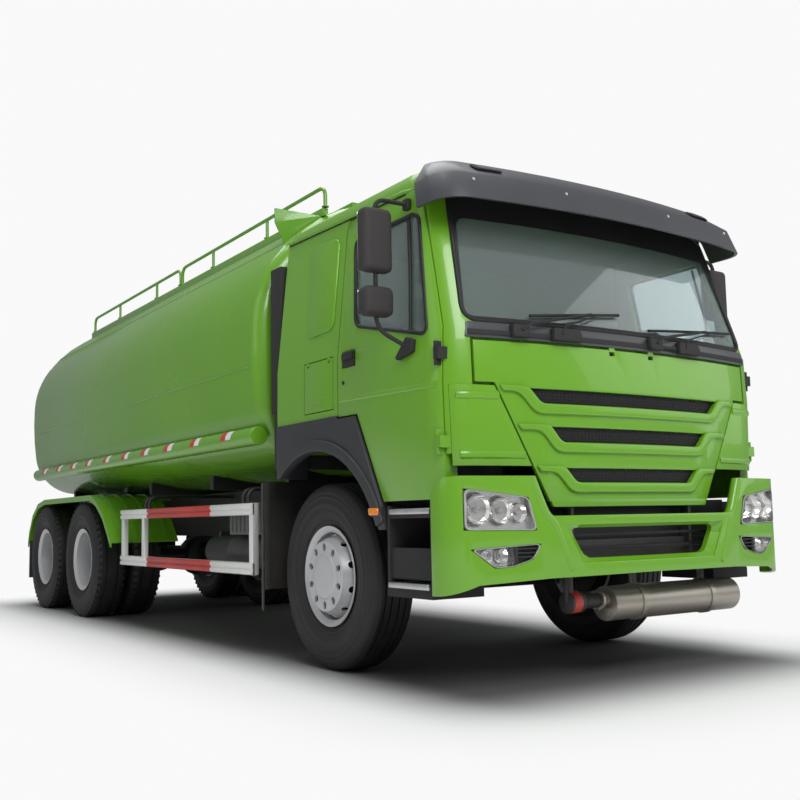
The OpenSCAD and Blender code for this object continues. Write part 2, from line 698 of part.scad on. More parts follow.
// Cab shell: walls, roof, floor with its engine tunnel, the openings, the hinges' lugs and the pivots' arms
module shell_walls() {
  difference() {
    union() {
      difference() {
        cab_form(0);
        cab_form(wall_t);
      }
      intersection() {
        cab_form(wall_t - 1);
        union() {
          box([-wide, -1300, floor_z], [wide, 600, floor_z + 40]);
          difference() {
            box([-tunnel_x - 30, -1300, floor_z], [tunnel_x + 30, 600, 1520]);
            box([-tunnel_x, -1400, floor_z - 1], [tunnel_x, 700, 1490]);
          }
        }
      }
    }
    box([-wide, -1500, 700], [wide, 700, floor_z]);
    box([-tunnel_x, -1500, floor_z - 1], [tunnel_x, 700, 1490]);
    along_x(-wide, wide) door_outline(door_gap);
    along_y(-1500, -1000) windscreen_outline(0);
    cab_skin(-1, 40) {
      along_y(-1500, -1250) flap_outline(16);
      box([-wide, -1500, 1000], [wide, -panel_y, panel_top]);
    }
    arch_hole(arch_r + 30);
    pair() box([640, -705, 1000], [wide, 700, 1285]);
    pair() box([wheelhouse_x, -620, 1000], [wide, 700, flare_top + seat]);
    along_x(-wide, wide) hatch_outline(swing);
  }
}
module cab_shell() {
  color(green) placed() {
    shell_walls();
    pair() {
      for (z = door_hinge_zs) {
        box([door_hinge_x - 56, -panel_y + 4, z], [door_hinge_x + 8, -door_front - 8, z + hinge_h]);
        box([door_hinge_x - 12, -door_front - 9, z], [door_hinge_x + 8, -door_front + 18, z + hinge_h]);
      }
      for (y = hatch_hinge_ys) box([hatch_hinge_x - 8, y, hatch_hinge_z - 9], [hatch_hinge_x + 6, y + 20, hatch_hinge_z + 16]);
      box([flap_hinge_x - 20, flap_hinge_y - 5, flap_hinge_z - 4], [flap_hinge_x + 20, flap_hinge_y + 8, flap_top + 20]);
      difference() {
        along_x(pivot_x + pivot_t + 2, pivot_x + 2 * pivot_t) {
          polygon([[pivot_y - 4, pivot_z + 15], [pivot_y + 8, 1000], [pivot_y + 8, floor_z + 20], [pivot_y + 68, floor_z + 20], [pivot_y + 60, 1000], [pivot_y + 16, pivot_z]]);
          translate([pivot_y, pivot_z]) circle(r = pivot_r);
        }
        rod_x(pivot_x, pivot_x + 3 * pivot_t, pivot_y, pivot_z, pivot_pin_d + 2 * run);
      }
    }
  }
}
module windscreen() {
  color(glass_tint) placed() cab_skin(6, 6 + glass_t) along_y(-1500, -1000) windscreen_outline(0.5);
}

// Sun visor: a bowed shell over the windscreen's top that reaches back along the roof's sides
visor_levels = [[2475, cab_w / 2 - 35, 1405, 170], [2620, cab_w / 2 - 55, 1345, 160], [2735, cab_w / 2 - 125, 1190, 140], [2765, cab_w / 2 - 240, 1110, 120]];
bracket_xs = [-800, -280, 280, 800];
module visor_form(t) {
  hull() for (v = visor_levels) translate([0, 0, v[0] - (v[0] < 2500 ? 1 : t)]) linear_extrude(0.01) plan(v[1], v[2], 0, v[3], t);
}
module visor() {
  color(grey) placed() difference() {
    union() {
      difference() {
        visor_form(0);
        translate([0, 0, -0.5]) visor_form(18);
      }
      intersection() {
        visor_form(9);
        for (x = bracket_xs) box([x - 20, -1500, 2612], [x + 20, -900, 2645]);
      }
    }
    cab_form(-seat);
    along_x(-wide, wide) polygon([[-1032, 2300], [-1032, 2475], [-985, 2626], [-985, 2900], [200, 2900], [200, 2300]]);
  }
}

// Corner panels beside the flap, below the waist
module corner_panels() {
  color(green) placed() cab_skin(0, 25) along_y(-1500, -panel_y - seat) difference() {
    translate([-wide, panel_bottom]) square([2 * wide, panel_top - seat - panel_bottom]);
    flap_outline(swing + 2);
  }
}

// Wheel-arch flares: a band that stands proud around each front arch
module arch_flares() {
  color(grey) placed() difference() {
    cab_skin(-14, 30) pair() along_x(wheelhouse_x + seat, wide) difference() {
      polygon([[-736, 811], [-700, 945], [-450, sill_z - 12], [-door_back + 12, sill_z - 12], [-door_back + 12, flare_top],
        [cab_back, flare_top], [cab_back, 1130], [300, 1130], [-500, 811]]);
      translate([0, axle_z]) circle(r = arch_r);
    }
    box([-wide, cab_back - 1, 700], [wide, cab_back + 60, 1600]);
  }
}

// Seats: cushion, backrest and base, one on each side of the tunnel
cushion_z = 1440;
seat_in = tunnel_x + 60;
seat_out = cab_w / 2 - 240;
module seats() {
  color([0.25, 0.25, 0.28]) placed() pair() {
    box([seat_in + 40, -420, floor_z + 40 + seat], [seat_out - 60, 40, cushion_z - seat]);
    along_x(seat_in, seat_out) polygon([[-520, cushion_z], [80, cushion_z], [80, 1500], [40, 1570], [-480, 1590], [-530, 1560]]);
    along_x(seat_in, seat_out) translate([seat, 0]) polygon([[80, cushion_z], [190, cushion_z], [330, 2080], [290, 2180], [230, 2180], [190, 2090], [40, 1571], [80, 1500]]);
  }
}

// Dashboard and steering column
wheel_tilt = 40;
wheel_c = [cab_w / 2 - 500, -760, 1840];
module dashboard() {
  color(grey) placed() {
    intersection() {
      cab_form(wall_t + seat);
      difference() {
        along_x(-wide, wide) polygon([[-1345, 1560], [-1345, 1790], [-1180, 1815], [-960, 1790], [-900, 1700], [-930, 1560], [-1100, 1545]]);
        pair() box([cab_w / 2 - 128, -door_front - 10, 1500], [wide, -800, 1900]);
      }
    }
    translate(wheel_c) rotate([90 + wheel_tilt, 0, 0]) translate([0, 0, 36]) cylinder(h = 240, d = 56);
  }
}
module steering_wheel() {
  color(rubber) placed() translate(wheel_c) rotate([90 + wheel_tilt, 0, 0]) {
    rotate_extrude() translate([steering_wheel_d / 2 - 16, 0]) circle(d = 32);
    cylinder(h = 35.7, d = 110);
    for (a = [0, 120, 240]) rotate([0, 0, a]) translate([0, -16, 4]) cube([steering_wheel_d / 2 - 20, 32, 14]);
  }
}

// Wipers and the strip that they stand on
// Each wiper: x and y of its pivot, and its turn about Z
wiper_places = [[-780, -1352, 0], [280, -1398, 8.5]];
module wipers() {
  color(dark) placed() {
    cab_skin(-10, -seat) box([-screen_low_x - 50, -1500, 1776], [screen_low_x + 50, -1250, 1800]);
    difference() {
      for (w = wiper_places) box([w[0] - 40, w[1] - 11, 1786], [w[0] + 60, w[1] + 25, 1816]);
      cab_form(-seat);
    }
    for (w = wiper_places) translate([w[0], w[1] - 5, 1805]) rotate([0, 78, w[2]]) cylinder(h = 640, d = 14, $fn = 12);
  }
}

// Front flap: the upper band and the slotted grille below it
slots = [[flap_x - 300, 1515, flap_x - 380, 1440], [flap_x - 432, 1322, flap_x - 505, 1244], [flap_x - 522, 1111, flap_x - 596, 1038]];
module slot_outline(s) { polygon([[-s[0], s[1]], [s[0], s[1]], [s[2], s[3]], [-s[2], s[3]]]); }
module grille_flap() {
  color(green) placed() difference() {
    cab_skin(0, 22) along_y(-1500, -1250) flap_outline(0);
    along_y(-1500, -1250) for (s = slots) slot_outline(s);
    pair() rod_x(flap_hinge_x - 20 - seat, flap_hinge_x + 20 + seat, flap_hinge_y, flap_hinge_z, 52);
  }
}
module grille_mesh() {
  color(dark) placed() cab_skin(22 + seat, 34) along_y(-1500, -1250) for (s = slots)
    translate([-s[0] - 20, s[3] - 20]) square([2 * s[0] + 40, s[1] - s[3] + 40]);
}

// Doors with their cut windows, glass and mirrors. Drawn on the left and mirrored for the right
module door() {
  difference() {
    cab_skin(0, wall_t) along_x(cab_w / 2 - 300, wide) door_outline(0);
    along_x(cab_w / 2 - 300, wide) rounded(door_window, window_r);
    box([cab_w / 2 - 10, -455, 1722], [wide, -305, 1822]);
    for (z = door_hinge_zs) rod_z(z - seat, z + hinge_h + seat, door_hinge_x, door_hinge_y, 48);
  }
  for (z = door_hinge_zs) for (end = [z - 30 - seat, z + hinge_h + seat]) {
    rod_z(end, end + 30, door_hinge_x, door_hinge_y, 22);
    box([door_hinge_x - 50, door_hinge_y - 5, end], [door_hinge_x, door_hinge_y + 9, end + 30]);
  }
  cab_skin(-3, 10.5) along_x(cab_w / 2 - 300, wide) translate([-440, 1742]) square([120, 60]);
}
module door_glass() { cab_skin(12, 12 + glass_t) along_x(cab_w / 2 - 300, wide) rounded(door_window, window_r - 0.5); }
mirror_x = cab_w / 2 + 140;
mirror_y = -900;
mirror_top = 2530;
mirror_low = 1840;
module mirror_set() {
  box([mirror_x - 90, mirror_y - 45, 2135], [mirror_x + 90, mirror_y + 45, 2475]);
  box([mirror_x - 90, mirror_y - 60, 1905], [mirror_x + 90, mirror_y + 40, 2060]);
  rod_z(mirror_low, mirror_top, mirror_x, mirror_y, 24);
  rod_x(mirror_x - 190, mirror_x, mirror_y, mirror_top, 24);
  rod_x(mirror_x - 138, mirror_x, mirror_y, mirror_low, 24);
  for (z = [mirror_low, mirror_top]) translate([mirror_x, mirror_y, z]) sphere(d = 24);
  difference() {
    union() {
      box([mirror_x - 260, mirror_y - 25, mirror_top - 30], [mirror_x - 180, mirror_y + 25, mirror_top + 30]);
      box([mirror_x - 210, mirror_y - 85, 1760], [mirror_x - 125, mirror_y + 20, 1880]);
    }
    cab_form(-seat);
  }
}
module door_left() { color(green) placed() door(); }
module door_right() { color(green) placed() mirror([1, 0, 0]) door(); }
module door_glass_left() { color(glass_tint) placed() door_glass(); }
module door_glass_right() { color(glass_tint) placed() mirror([1, 0, 0]) door_glass(); }
module mirror_left() { color(dark) placed() mirror_set(); }
module mirror_right() { color(dark) placed() mirror([1, 0, 0]) mirror_set(); }

// Tool hatches in the cab's rear quarters
module hatch_lid() {
  difference() {
    cab_skin(0, 20) along_x(cab_w / 2 - 300, wide) hatch_outline(0);
    for (y = hatch_hinge_ys) rod_y(y - seat, y + 20 + seat, hatch_hinge_x, hatch_hinge_z, 34);
  }
}
module hatch_left() { color(green) placed() hatch_lid(); }
module hatch_right() { color(green) placed() mirror([1, 0, 0]) hatch_lid(); }

// Steering: knuckle with its fork, kingpin, wheel pin and arm, drawn on the left
ear_t = 36;
arm_l = 180;
arm_z = axle_z - boss_h / 2 - fork_gap - ear_t;
wheel_pin_d = 80;
module knuckle() {
  top = axle_z + boss_h / 2 + fork_gap;
  rod_z(arm_z, top + ear_t, kingpin_x, 0, 44);
  for (z = [arm_z, top]) {
    rod_z(z, z + ear_t, kingpin_x, 0, 92);
    box([kingpin_x, -46, z], [kingpin_x + 60, 46, z + ear_t]);
  }
  box([kingpin_x + 55, -60, arm_z], [kingpin_x + 95, 60, top + ear_t]);
  rod_x(kingpin_x + 90, front_wheel_x + 95, 0, axle_z, wheel_pin_d);
  box([kingpin_x - 24, 0, arm_z], [kingpin_x + 24, arm_l, arm_z + ear_t]);
  rod_z(arm_z - 44, arm_z + ear_t, kingpin_x, arm_l, 26);
}
module knuckle_left() { color(dark) placed() knuckle(); }
module knuckle_right() { color(dark) placed() mirror([1, 0, 0]) knuckle(); }

// Tie rod between the arms: a running fit on the left arm's pin and a loose eye on the right one's
rod_z0 = arm_z - 44;
module tie_rod() {
  color(dark) placed() difference() {
    union() {
      rod_x(-kingpin_x + 20, kingpin_x - 20, arm_l, rod_z0 + 18, 30);
      pair() rod_z(rod_z0, rod_z0 + 36, kingpin_x, arm_l, 50);
    }
    rod_z(rod_z0 - 1, rod_z0 + 40, kingpin_x, arm_l, 26 + 2 * run);
    rod_z(rod_z0 - 1, rod_z0 + 40, -kingpin_x, arm_l, 36);
  }
}

// Tyre: its section spun about the wheel's axis, which runs along X
bead_r = rim_lip_d / 2 - 26;
module tyre(x) {
  h = tyre_w / 2;
  b = rim_w / 2;
  translate([x, 0, axle_z]) rotate([0, 90, 0]) rotate_extrude($fn = 64) polygon([
    [bead_r, -b + 10], [bead_r + 40, -b - 4], [(tyre_d / 2 + bead_r) / 2, -h], [tyre_d / 2 - 60, -h + 8], [tyre_d / 2 - 18, -h + 24],
    [tyre_d / 2, -h + 50], [tyre_d / 2, h - 50], [tyre_d / 2 - 18, h - 24], [tyre_d / 2 - 60, h - 8], [(tyre_d / 2 + bead_r) / 2, h],
    [bead_r + 40, b + 4], [bead_r, b - 10]]);
}
// Rim well: radius and place across the rim, as a closed section
module rim_well(x) {
  b = rim_w / 2;
  r = bead_r - seat;
  translate([x, 0, axle_z]) rotate([0, 90, 0]) rotate_extrude() polygon([
    [r + 26, -b - 18], [r + 26, -b - 8], [r, -b + 8], [r, b - 8], [r + 26, b + 8], [r + 26, b + 18],
    [r + 12, b + 18], [r - 10, b], [r - 10, -b], [r + 12, -b - 18]]);
}
dish_r = 205;
hole_pcd = 335;
module front_rim_of() {
  face = front_wheel_x + 150;
  difference() {
    union() {
      rim_well(front_wheel_x);
      translate([0, 0, axle_z]) rotate([0, 90, 0]) rotate_extrude() polygon([
        [0, face - 30], [150, face - 30], [dish_r - 14, face - 24], [bead_r - 12, front_wheel_x + 30], [bead_r - 2, front_wheel_x + 30],
        [bead_r - 2, front_wheel_x + 46], [dish_r + 4, face - 8], [dish_r - 4, face], [145, face], [138, face + 8], [0, face + 8]]);
      rod_x(kingpin_x + 100, face - 29, 0, axle_z, 190);
      translate([0, 0, axle_z]) rotate([0, 90, 0]) rotate_extrude() polygon([
        [80, front_wheel_x], [200, front_wheel_x], [212, front_wheel_x - 10], [212, kingpin_x + 50], [196, kingpin_x + 50], [196, front_wheel_x - 16], [80, front_wheel_x - 16]]);
    }
    rod_x(kingpin_x + 80, front_wheel_x + 96, 0, axle_z, wheel_pin_d + 2 * run);
    for (i = [0:9]) rod_x(face - 60, face + 9, hole_pcd / 2 * cos(18 + 36 * i), axle_z + hole_pcd / 2 * sin(18 + 36 * i), 32);
    for (i = [0:9]) translate([0, 0, axle_z]) rotate([36 * i, 0, 0]) rod_x(front_wheel_x + 25, face - 10, 0, 228, 30);
  }
}
module twin_rims(y) {
  translate([0, y, 0]) difference() {
    union() {
      rim_well(outer_x);
      rim_well(inner_x);
      translate([0, 0, axle_z]) rotate([0, 90, 0]) rotate_extrude() polygon([
        [60, twin_x - 16], [190, twin_x - 16], [bead_r - 8, inner_x + 90], [bead_r - 8, inner_x + 74], [190, twin_x - 34], [60, twin_x - 34]]);
      translate([0, 0, axle_z]) rotate([0, 90, 0]) rotate_extrude() polygon([
        [60, twin_x + 18], [190, twin_x + 18], [bead_r - 8, outer_x - 90], [bead_r - 8, outer_x - 74], [190, twin_x + 34], [60, twin_x + 34]]);
      rod_x(twin_x - 60, twin_x + 60, 0, axle_z, 300);
      rod_x(twin_x - 100, outer_x + 20, 0, axle_z, 200);
      translate([0, 0, axle_z]) rotate([0, 90, 0]) rotate_extrude() polygon([
        [60, twin_x - 50], [205, twin_x - 50], [212, twin_x - 58], [212, inner_x - 90], [196, inner_x - 90], [196, twin_x - 68], [60, twin_x - 68]]);
    }
    rod_x(500, outer_x - 39, 0, axle_z, hub_pin_d + 2 * run);
    for (i = [0:9]) translate([0, 0, axle_z]) rotate([18 + 36 * i, 0, 0]) rod_x(twin_x - 80, twin_x + 80, 0, 215, 36);
  }
}
module front_tyre_left() { color(rubber) placed() tyre(front_wheel_x); }
module front_tyre_right() { color(rubber) placed() mirror([1, 0, 0]) tyre(front_wheel_x); }
module front_rim_left() { color(steel) placed() front_rim_of(); }
module front_rim_right() { color(steel) placed() mirror([1, 0, 0]) front_rim_of(); }
module twin_tyres(y) { color(rubber) placed() translate([0, y, 0]) for (x = [inner_x, outer_x]) tyre(x); }
module twin_tyres_left_1() { twin_tyres(rear_1); }
module twin_tyres_right_1() { mirror([1, 0, 0]) twin_tyres(rear_1); }
module twin_tyres_left_2() { twin_tyres(rear_2); }
module twin_tyres_right_2() { mirror([1, 0, 0]) twin_tyres(rear_2); }
module twin_rims_left_1() { color(steel) placed() twin_rims(rear_1); }
module twin_rims_right_1() { color(steel) placed() mirror([1, 0, 0]) twin_rims(rear_1); }
module twin_rims_left_2() { color(steel) placed() twin_rims(rear_2); }
module twin_rims_right_2() { color(steel) placed() mirror([1, 0, 0]) twin_rims(rear_2); }

frame();
front_axle();
rear_axles();
engine();
driveline();
radiator();
bumper();
lamps();
steps();
silencer();
side_guards();
battery_box();
air_tanks();
fuel_tank();
rear_fenders();
mudguards();
rear_bar();
tank();
side_tubes();
walkway();
handrails();
discharge_pipe();
air_intake();
manhole_lid();
cab_shell();
windscreen();
visor();
corner_panels();
arch_flares();
seats();
dashboard();
steering_wheel();
wipers();
grille_flap();
grille_mesh();
door_right();
door_glass_right();
mirror_right();
door_left();
door_glass_left();
mirror_left();
hatch_right();
hatch_left();
knuckle_right();
knuckle_left();
tie_rod();
front_tyre_right();
front_rim_right();
front_tyre_left();
front_rim_left();
twin_tyres_right_1();
twin_rims_right_1();
twin_tyres_left_1();
twin_rims_left_1();
twin_tyres_right_2();
twin_rims_right_2();
twin_tyres_left_2();
twin_rims_left_2();
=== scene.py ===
"""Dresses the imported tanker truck: finishes, detailed pieces, floor, light and camera."""

from __future__ import annotations

import logging
import math
from contextlib import contextmanager
from dataclasses import dataclass
from enum import Enum
from typing import Callable, Iterator, Sequence

import bpy
from mathutils import Matrix, Vector

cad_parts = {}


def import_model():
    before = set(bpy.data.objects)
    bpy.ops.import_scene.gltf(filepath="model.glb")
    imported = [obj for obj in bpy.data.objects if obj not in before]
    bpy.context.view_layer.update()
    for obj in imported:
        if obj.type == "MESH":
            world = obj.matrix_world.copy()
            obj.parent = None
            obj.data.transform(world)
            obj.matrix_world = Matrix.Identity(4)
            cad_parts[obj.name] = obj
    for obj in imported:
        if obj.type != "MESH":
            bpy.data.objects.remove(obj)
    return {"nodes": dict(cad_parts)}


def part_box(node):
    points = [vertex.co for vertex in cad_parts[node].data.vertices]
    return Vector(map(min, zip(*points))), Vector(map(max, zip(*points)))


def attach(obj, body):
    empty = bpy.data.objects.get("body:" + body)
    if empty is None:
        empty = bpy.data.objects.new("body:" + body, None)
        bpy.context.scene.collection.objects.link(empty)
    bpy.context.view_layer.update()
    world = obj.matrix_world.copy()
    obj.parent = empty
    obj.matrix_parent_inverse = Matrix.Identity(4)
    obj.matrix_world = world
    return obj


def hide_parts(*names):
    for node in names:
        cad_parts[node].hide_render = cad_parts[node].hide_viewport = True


log = logging.getLogger("tanker")

Obj = bpy.types.Object
Socket = bpy.types.NodeSocket
Point = tuple[float, float, float]
Flat = tuple[float, float]

AXLE_Y = -2.5625
AXLE_Z = 0.5425
ORIGIN = (0.0, 0.0, 0.0)
FULL_TURN = 2 * math.pi
MERGE = 1e-5


def along(distance: float) -> float:
    """Place along the truck in the row's frame, from a distance behind the front axle."""
    return AXLE_Y + distance


def beside(points: Sequence[Flat]) -> list[Flat]:
    """An outline on the truck's side, from distances behind the front axle and heights."""
    return [(along(y), z) for y, z in points]


def rect(u0: float, v0: float, u1: float, v1: float) -> list[Flat]:
    """A rectangle's corners, from two opposite ones."""
    return [(u0, v0), (u1, v0), (u1, v1), (u0, v1)]


def trapezoid(first_half: float, first_z: float, second_half: float, second_z: float) -> list[Flat]:
    """A symmetric outline on the front, from the half widths at two heights."""
    return [(-first_half, first_z), (first_half, first_z), (second_half, second_z), (-second_half, second_z)]


class Axis(Enum):
    """One of the frame's three directions."""

    X = 0
    Y = 1
    Z = 2

    def point(self, at: float, u: float, v: float) -> Point:
        """A point at a place on this axis, with the other two coordinates in X, Y, Z order."""
        values = [u, v]
        values.insert(self.value, at)
        return tuple(values)

    def vector(self, length: float = 1.0) -> Point:
        """A vector of that length along the axis."""
        return self.point(length, 0.0, 0.0)

    def turn(self) -> Point:
        """The turn that lays a Z cylinder along the axis."""
        quarter = math.pi / 2
        return ((0.0, quarter, 0.0), (quarter, 0.0, 0.0), ORIGIN)[self.value]


class Side(Enum):
    """The truck's right and left, and the sign of their X."""

    RIGHT = -1
    LEFT = 1

    @property
    def word(self) -> str:
        """The side's word in the names of nodes and bodies."""
        return self.name.lower()


class Frame:
    """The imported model's nodes by name."""

    nodes: dict[str, Obj] = {}


class Bench:
    """Hand tools: each makes or changes one mesh with Blender's own operators."""

    @staticmethod
    def clear() -> None:
        """Leaves nothing selected and nothing in edit mode."""
        if bpy.context.object and bpy.context.object.mode != "OBJECT":
            bpy.ops.object.mode_set(mode="OBJECT")
        bpy.ops.object.select_all(action="DESELECT")

    @classmethod
    def pick(cls, obj: Obj) -> Obj:
        """Selects one object alone and makes it active."""
        cls.clear()
        obj.select_set(True)
        bpy.context.view_layer.objects.active = obj
        return obj

    @classmethod
    @contextmanager
    def editing(cls, obj: Obj) -> Iterator[None]:
        """Edit mode on one object, with its whole mesh selected."""
        cls.pick(obj)
        bpy.ops.object.mode_set(mode="EDIT")
        bpy.ops.mesh.select_all(action="SELECT")
        yield
        bpy.ops.object.mode_set(mode="OBJECT")

    @classmethod
    def settle(cls, name: str, bevel: float = 0.0, segments: int = 2) -> Obj:
        """Puts the active object's place into its mesh, names it and rounds its edges."""
        obj = cls.pick(bpy.context.object)
        bpy.ops.object.transform_apply(location=True, rotation=True, scale=True)
        obj.name = obj.data.name = name
        return cls.bevel(obj, bevel, segments) if bevel else obj

    @classmethod
    def block(cls, name: str, low: Point, high: Point, bevel: float = 0.0, segments: int = 2) -> Obj:
        """A box between two corners.

        Args:
            name: The piece's name.
            low: Lowest corner.
            high: Highest corner.
            bevel: Width of the rounded edges, or 0.
            segments: Faces across a rounded edge.

        Returns:
            The new object.
        """
        cls.clear()
        centre = tuple((a + b) / 2 for a, b in zip(low, high))
        size = tuple(b - a for a, b in zip(low, high))
        bpy.ops.mesh.primitive_cube_add(size=1.0, location=centre, scale=size)
        return cls.settle(name, bevel, segments)

    @classmethod
    def drum(cls, name: str, axis: Axis, low: Point, length: float, radius: float, sides: int = 32,
             bevel: float = 0.0) -> Obj:
        """A cylinder that starts at low and runs that length along the axis."""
        cls.clear()
        centre = Vector(low) + Vector(axis.vector(length / 2))
        bpy.ops.mesh.primitive_cylinder_add(
            vertices=sides, radius=radius, depth=length, location=centre, rotation=axis.turn())
        return cls.settle(name, bevel)

    @classmethod
    def loop(cls, points: Sequence[Point]) -> Obj:
        """A closed line through the points, with no face."""
        cls.clear()
        bpy.ops.mesh.primitive_circle_add(vertices=len(points), radius=1.0, fill_type="NOTHING")
        obj = bpy.context.object
        for vertex, point in zip(obj.data.vertices, points):
            vertex.co = point
        return obj

    @classmethod
    def plate(cls, name: str, outline: Sequence[Flat], axis: Axis, start: float, depth: float,
              bevel: float = 0.0, rounded: float = 0.0) -> Obj:
        """An outline drawn across the axis at start and extruded by depth along it.

        Args:
            name: The piece's name.
            outline: The outline's corners in the other two coordinates.
            axis: The axis that the outline lies across.
            start: Where on the axis the outline is drawn.
            depth: How far it is extruded.
            bevel: Width of the rounded edges, or 0.
            rounded: Radius of the outline's corners, or 0.

        Returns:
            The new object.
        """
        if rounded:
            outline = round_outline(outline, rounded)
        with cls.editing(cls.loop([axis.point(start, u, v) for u, v in outline])):
            bpy.ops.mesh.edge_face_add()
            bpy.ops.mesh.extrude_region_move(TRANSFORM_OT_translate={"value": axis.vector(depth)})
            cls.outward()
        return cls.settle(name, bevel)

    @classmethod
    def lathe(cls, name: str, profile: Sequence[Flat], steps: int = 64, closed: bool = True,
              axis: Axis = Axis.X, centre: Point = ORIGIN) -> Obj:
        """A profile of places along the axis and radii, spun about the axis through centre."""
        middle = Vector(centre)
        obj = cls.loop([middle + Vector(axis.point(place, 0.0, radius)) for place, radius in profile])
        if not closed:
            for edge in obj.data.edges:
                edge.select = set(edge.vertices) == {0, len(profile) - 1}
            for vertex in obj.data.vertices:
                vertex.select = False
            bpy.ops.object.mode_set(mode="EDIT")
            bpy.ops.mesh.select_mode(type="EDGE")
            bpy.ops.mesh.delete(type="EDGE_FACE")
            bpy.ops.mesh.select_mode(type="VERT")
        with cls.editing(obj):
            bpy.ops.mesh.spin(steps=steps, angle=FULL_TURN, center=centre, axis=axis.vector())
            bpy.ops.mesh.select_all(action="SELECT")
            bpy.ops.mesh.remove_doubles(threshold=MERGE)
            cls.outward()
        return cls.smooth(cls.settle(name), 32)

    @classmethod
    def pipe(cls, name: str, points: Sequence[Point], radius: float, sides: int = 3, cyclic: bool = False) -> Obj:
        """A round tube along a line of points."""
        cls.clear()
        bpy.ops.curve.primitive_nurbs_path_add()
        curve = bpy.context.object.data
        curve.splines.clear()
        spline = curve.splines.new("POLY")
        spline.points.add(len(points) - 1)
        for knot, point in zip(spline.points, points):
            knot.co = (*point, 1.0)
        spline.use_cyclic_u = cyclic
        curve.dimensions = "3D"
        curve.bevel_depth = radius
        curve.bevel_resolution = sides
        curve.use_fill_caps = True
        bpy.ops.object.convert(target="MESH")
        obj = cls.settle(name)
        with cls.editing(obj):
            bpy.ops.mesh.remove_doubles(threshold=MERGE)
            cls.outward()
        return cls.smooth(obj, 50)

    @staticmethod
    def outward() -> None:
        """In edit mode, turns all faces outwards."""
        bpy.ops.mesh.select_all(action="SELECT")
        bpy.ops.mesh.normals_make_consistent(inside=False)

    @classmethod
    def modify(cls, obj: Obj, kind: str, **settings: object) -> Obj:
        """Adds one modifier with its settings and applies it."""
        cls.pick(obj)
        bpy.ops.object.modifier_add(type=kind)
        modifier = obj.modifiers[-1]
        for key, value in settings.items():
            setattr(modifier, key, value)
        bpy.ops.object.modifier_apply(modifier=modifier.name)
        return obj

    @classmethod
    def bevel(cls, obj: Obj, width: float, segments: int = 2, angle: float = 35.0) -> Obj:
        """Rounds the edges sharper than the angle, and smooths the shading between them."""
        if width:
            limit = math.radians(angle)
            cls.modify(obj, "BEVEL", width=width, segments=segments, limit_method="ANGLE", angle_limit=limit)
        return cls.smooth(obj)

    @classmethod
    def smooth(cls, obj: Obj, angle: float = 35.0) -> Obj:
        """Smooth shading across edges flatter than the angle."""
        cls.pick(obj)
        bpy.ops.object.shade_smooth_by_angle(angle=math.radians(angle))
        return obj

    @classmethod
    def flip(cls, obj: Obj) -> Obj:
        """Mirrors an object across the truck's middle plane."""
        obj.scale.x = -1.0
        cls.pick(obj)
        with cls.editing(cls.settle(obj.name)):
            cls.outward()
        return obj

    @classmethod
    def copy(cls, obj: Obj, name: str, offset: Point, mirrored: bool) -> Obj:
        """A copy with its own mesh, moved by offset after any mirroring."""
        cls.pick(obj)
        bpy.ops.object.duplicate()
        if mirrored:
            cls.flip(bpy.context.object)
        bpy.context.object.location = offset
        return cls.settle(name)

    @classmethod
    def ring(cls, obj: Obj, count: int) -> Obj:
        """Repeats the mesh evenly round the X axis, inside the same object."""
        with cls.editing(obj):
            bpy.ops.mesh.spin(
                steps=count - 1, dupli=True, angle=FULL_TURN * (count - 1) / count, center=ORIGIN, axis=(1, 0, 0))
        return obj

    @classmethod
    def join(cls, name: str, parts: Sequence[Obj]) -> Obj:
        """Joins objects into one, which keeps each part's finish."""
        cls.pick(parts[0])
        for part in parts[1:]:
            part.select_set(True)
        if len(parts) > 1:
            bpy.ops.object.join()
        obj = bpy.context.object
        obj.name = obj.data.name = name
        return obj

    @classmethod
    def cut(cls, obj: Obj, cutter: Obj) -> Obj:
        """Cuts the cutter's form out of the object and throws the cutter away."""
        cls.modify(obj, "BOOLEAN", operation="DIFFERENCE", object=cutter, solver="EXACT", use_self=True)
        bpy.data.objects.remove(cutter)
        return obj

    @classmethod
    def slices(cls, obj: Obj, axis: Axis, places: Sequence[float]) -> Obj:
        """Splits the faces with planes across the axis, so that the piece can bend there."""
        with cls.editing(obj):
            for place in places:
                bpy.ops.mesh.select_all(action="SELECT")
                bpy.ops.mesh.bisect(plane_co=axis.vector(place), plane_no=axis.vector())
        return obj

    @classmethod
    def refined(cls, node: str, name: str, bevel: float = 0.004, segments: int = 2) -> Obj:
        """A merged copy of a CAD node with rounded edges and smooth shading."""
        obj = bpy.data.objects.new(name, Frame.nodes[node].data.copy())
        bpy.context.scene.collection.objects.link(obj)
        obj.data.materials.clear()
        with cls.editing(obj):
            bpy.ops.mesh.remove_doubles(threshold=2 * MERGE)
            bpy.ops.mesh.dissolve_limited(angle_limit=math.radians(0.6), delimit=set())
            bpy.ops.mesh.customdata_custom_splitnormals_clear()
        return cls.bevel(obj, bevel, segments, 30.0)


def arc(before: Vector, corner: Vector, after: Vector, radius: float, steps: int) -> list[Vector]:
    """Points that round one corner of a line."""
    start, end = (
        corner + (p - corner).normalized() * min(radius, (p - corner).length * 0.49) for p in (before, after))
    shares = (step / steps for step in range(steps + 1))
    return [start * (1 - t) ** 2 + corner * 2 * t * (1 - t) + end * t * t for t in shares]


def fillet(points: Sequence[Point], radius: float, steps: int = 6) -> list[Point]:
    """A line of points with its inner corners rounded.

    Args:
        points: The line's corners.
        radius: How far before and after a corner the rounding starts.
        steps: Points in each rounding.

    Returns:
        The rounded line.
    """
    line = [Vector(p) for p in points]
    bends = [p for corner in zip(line, line[1:], line[2:]) for p in arc(*corner, radius, steps)]
    return [tuple(p) for p in (line[0], *bends, line[-1])]


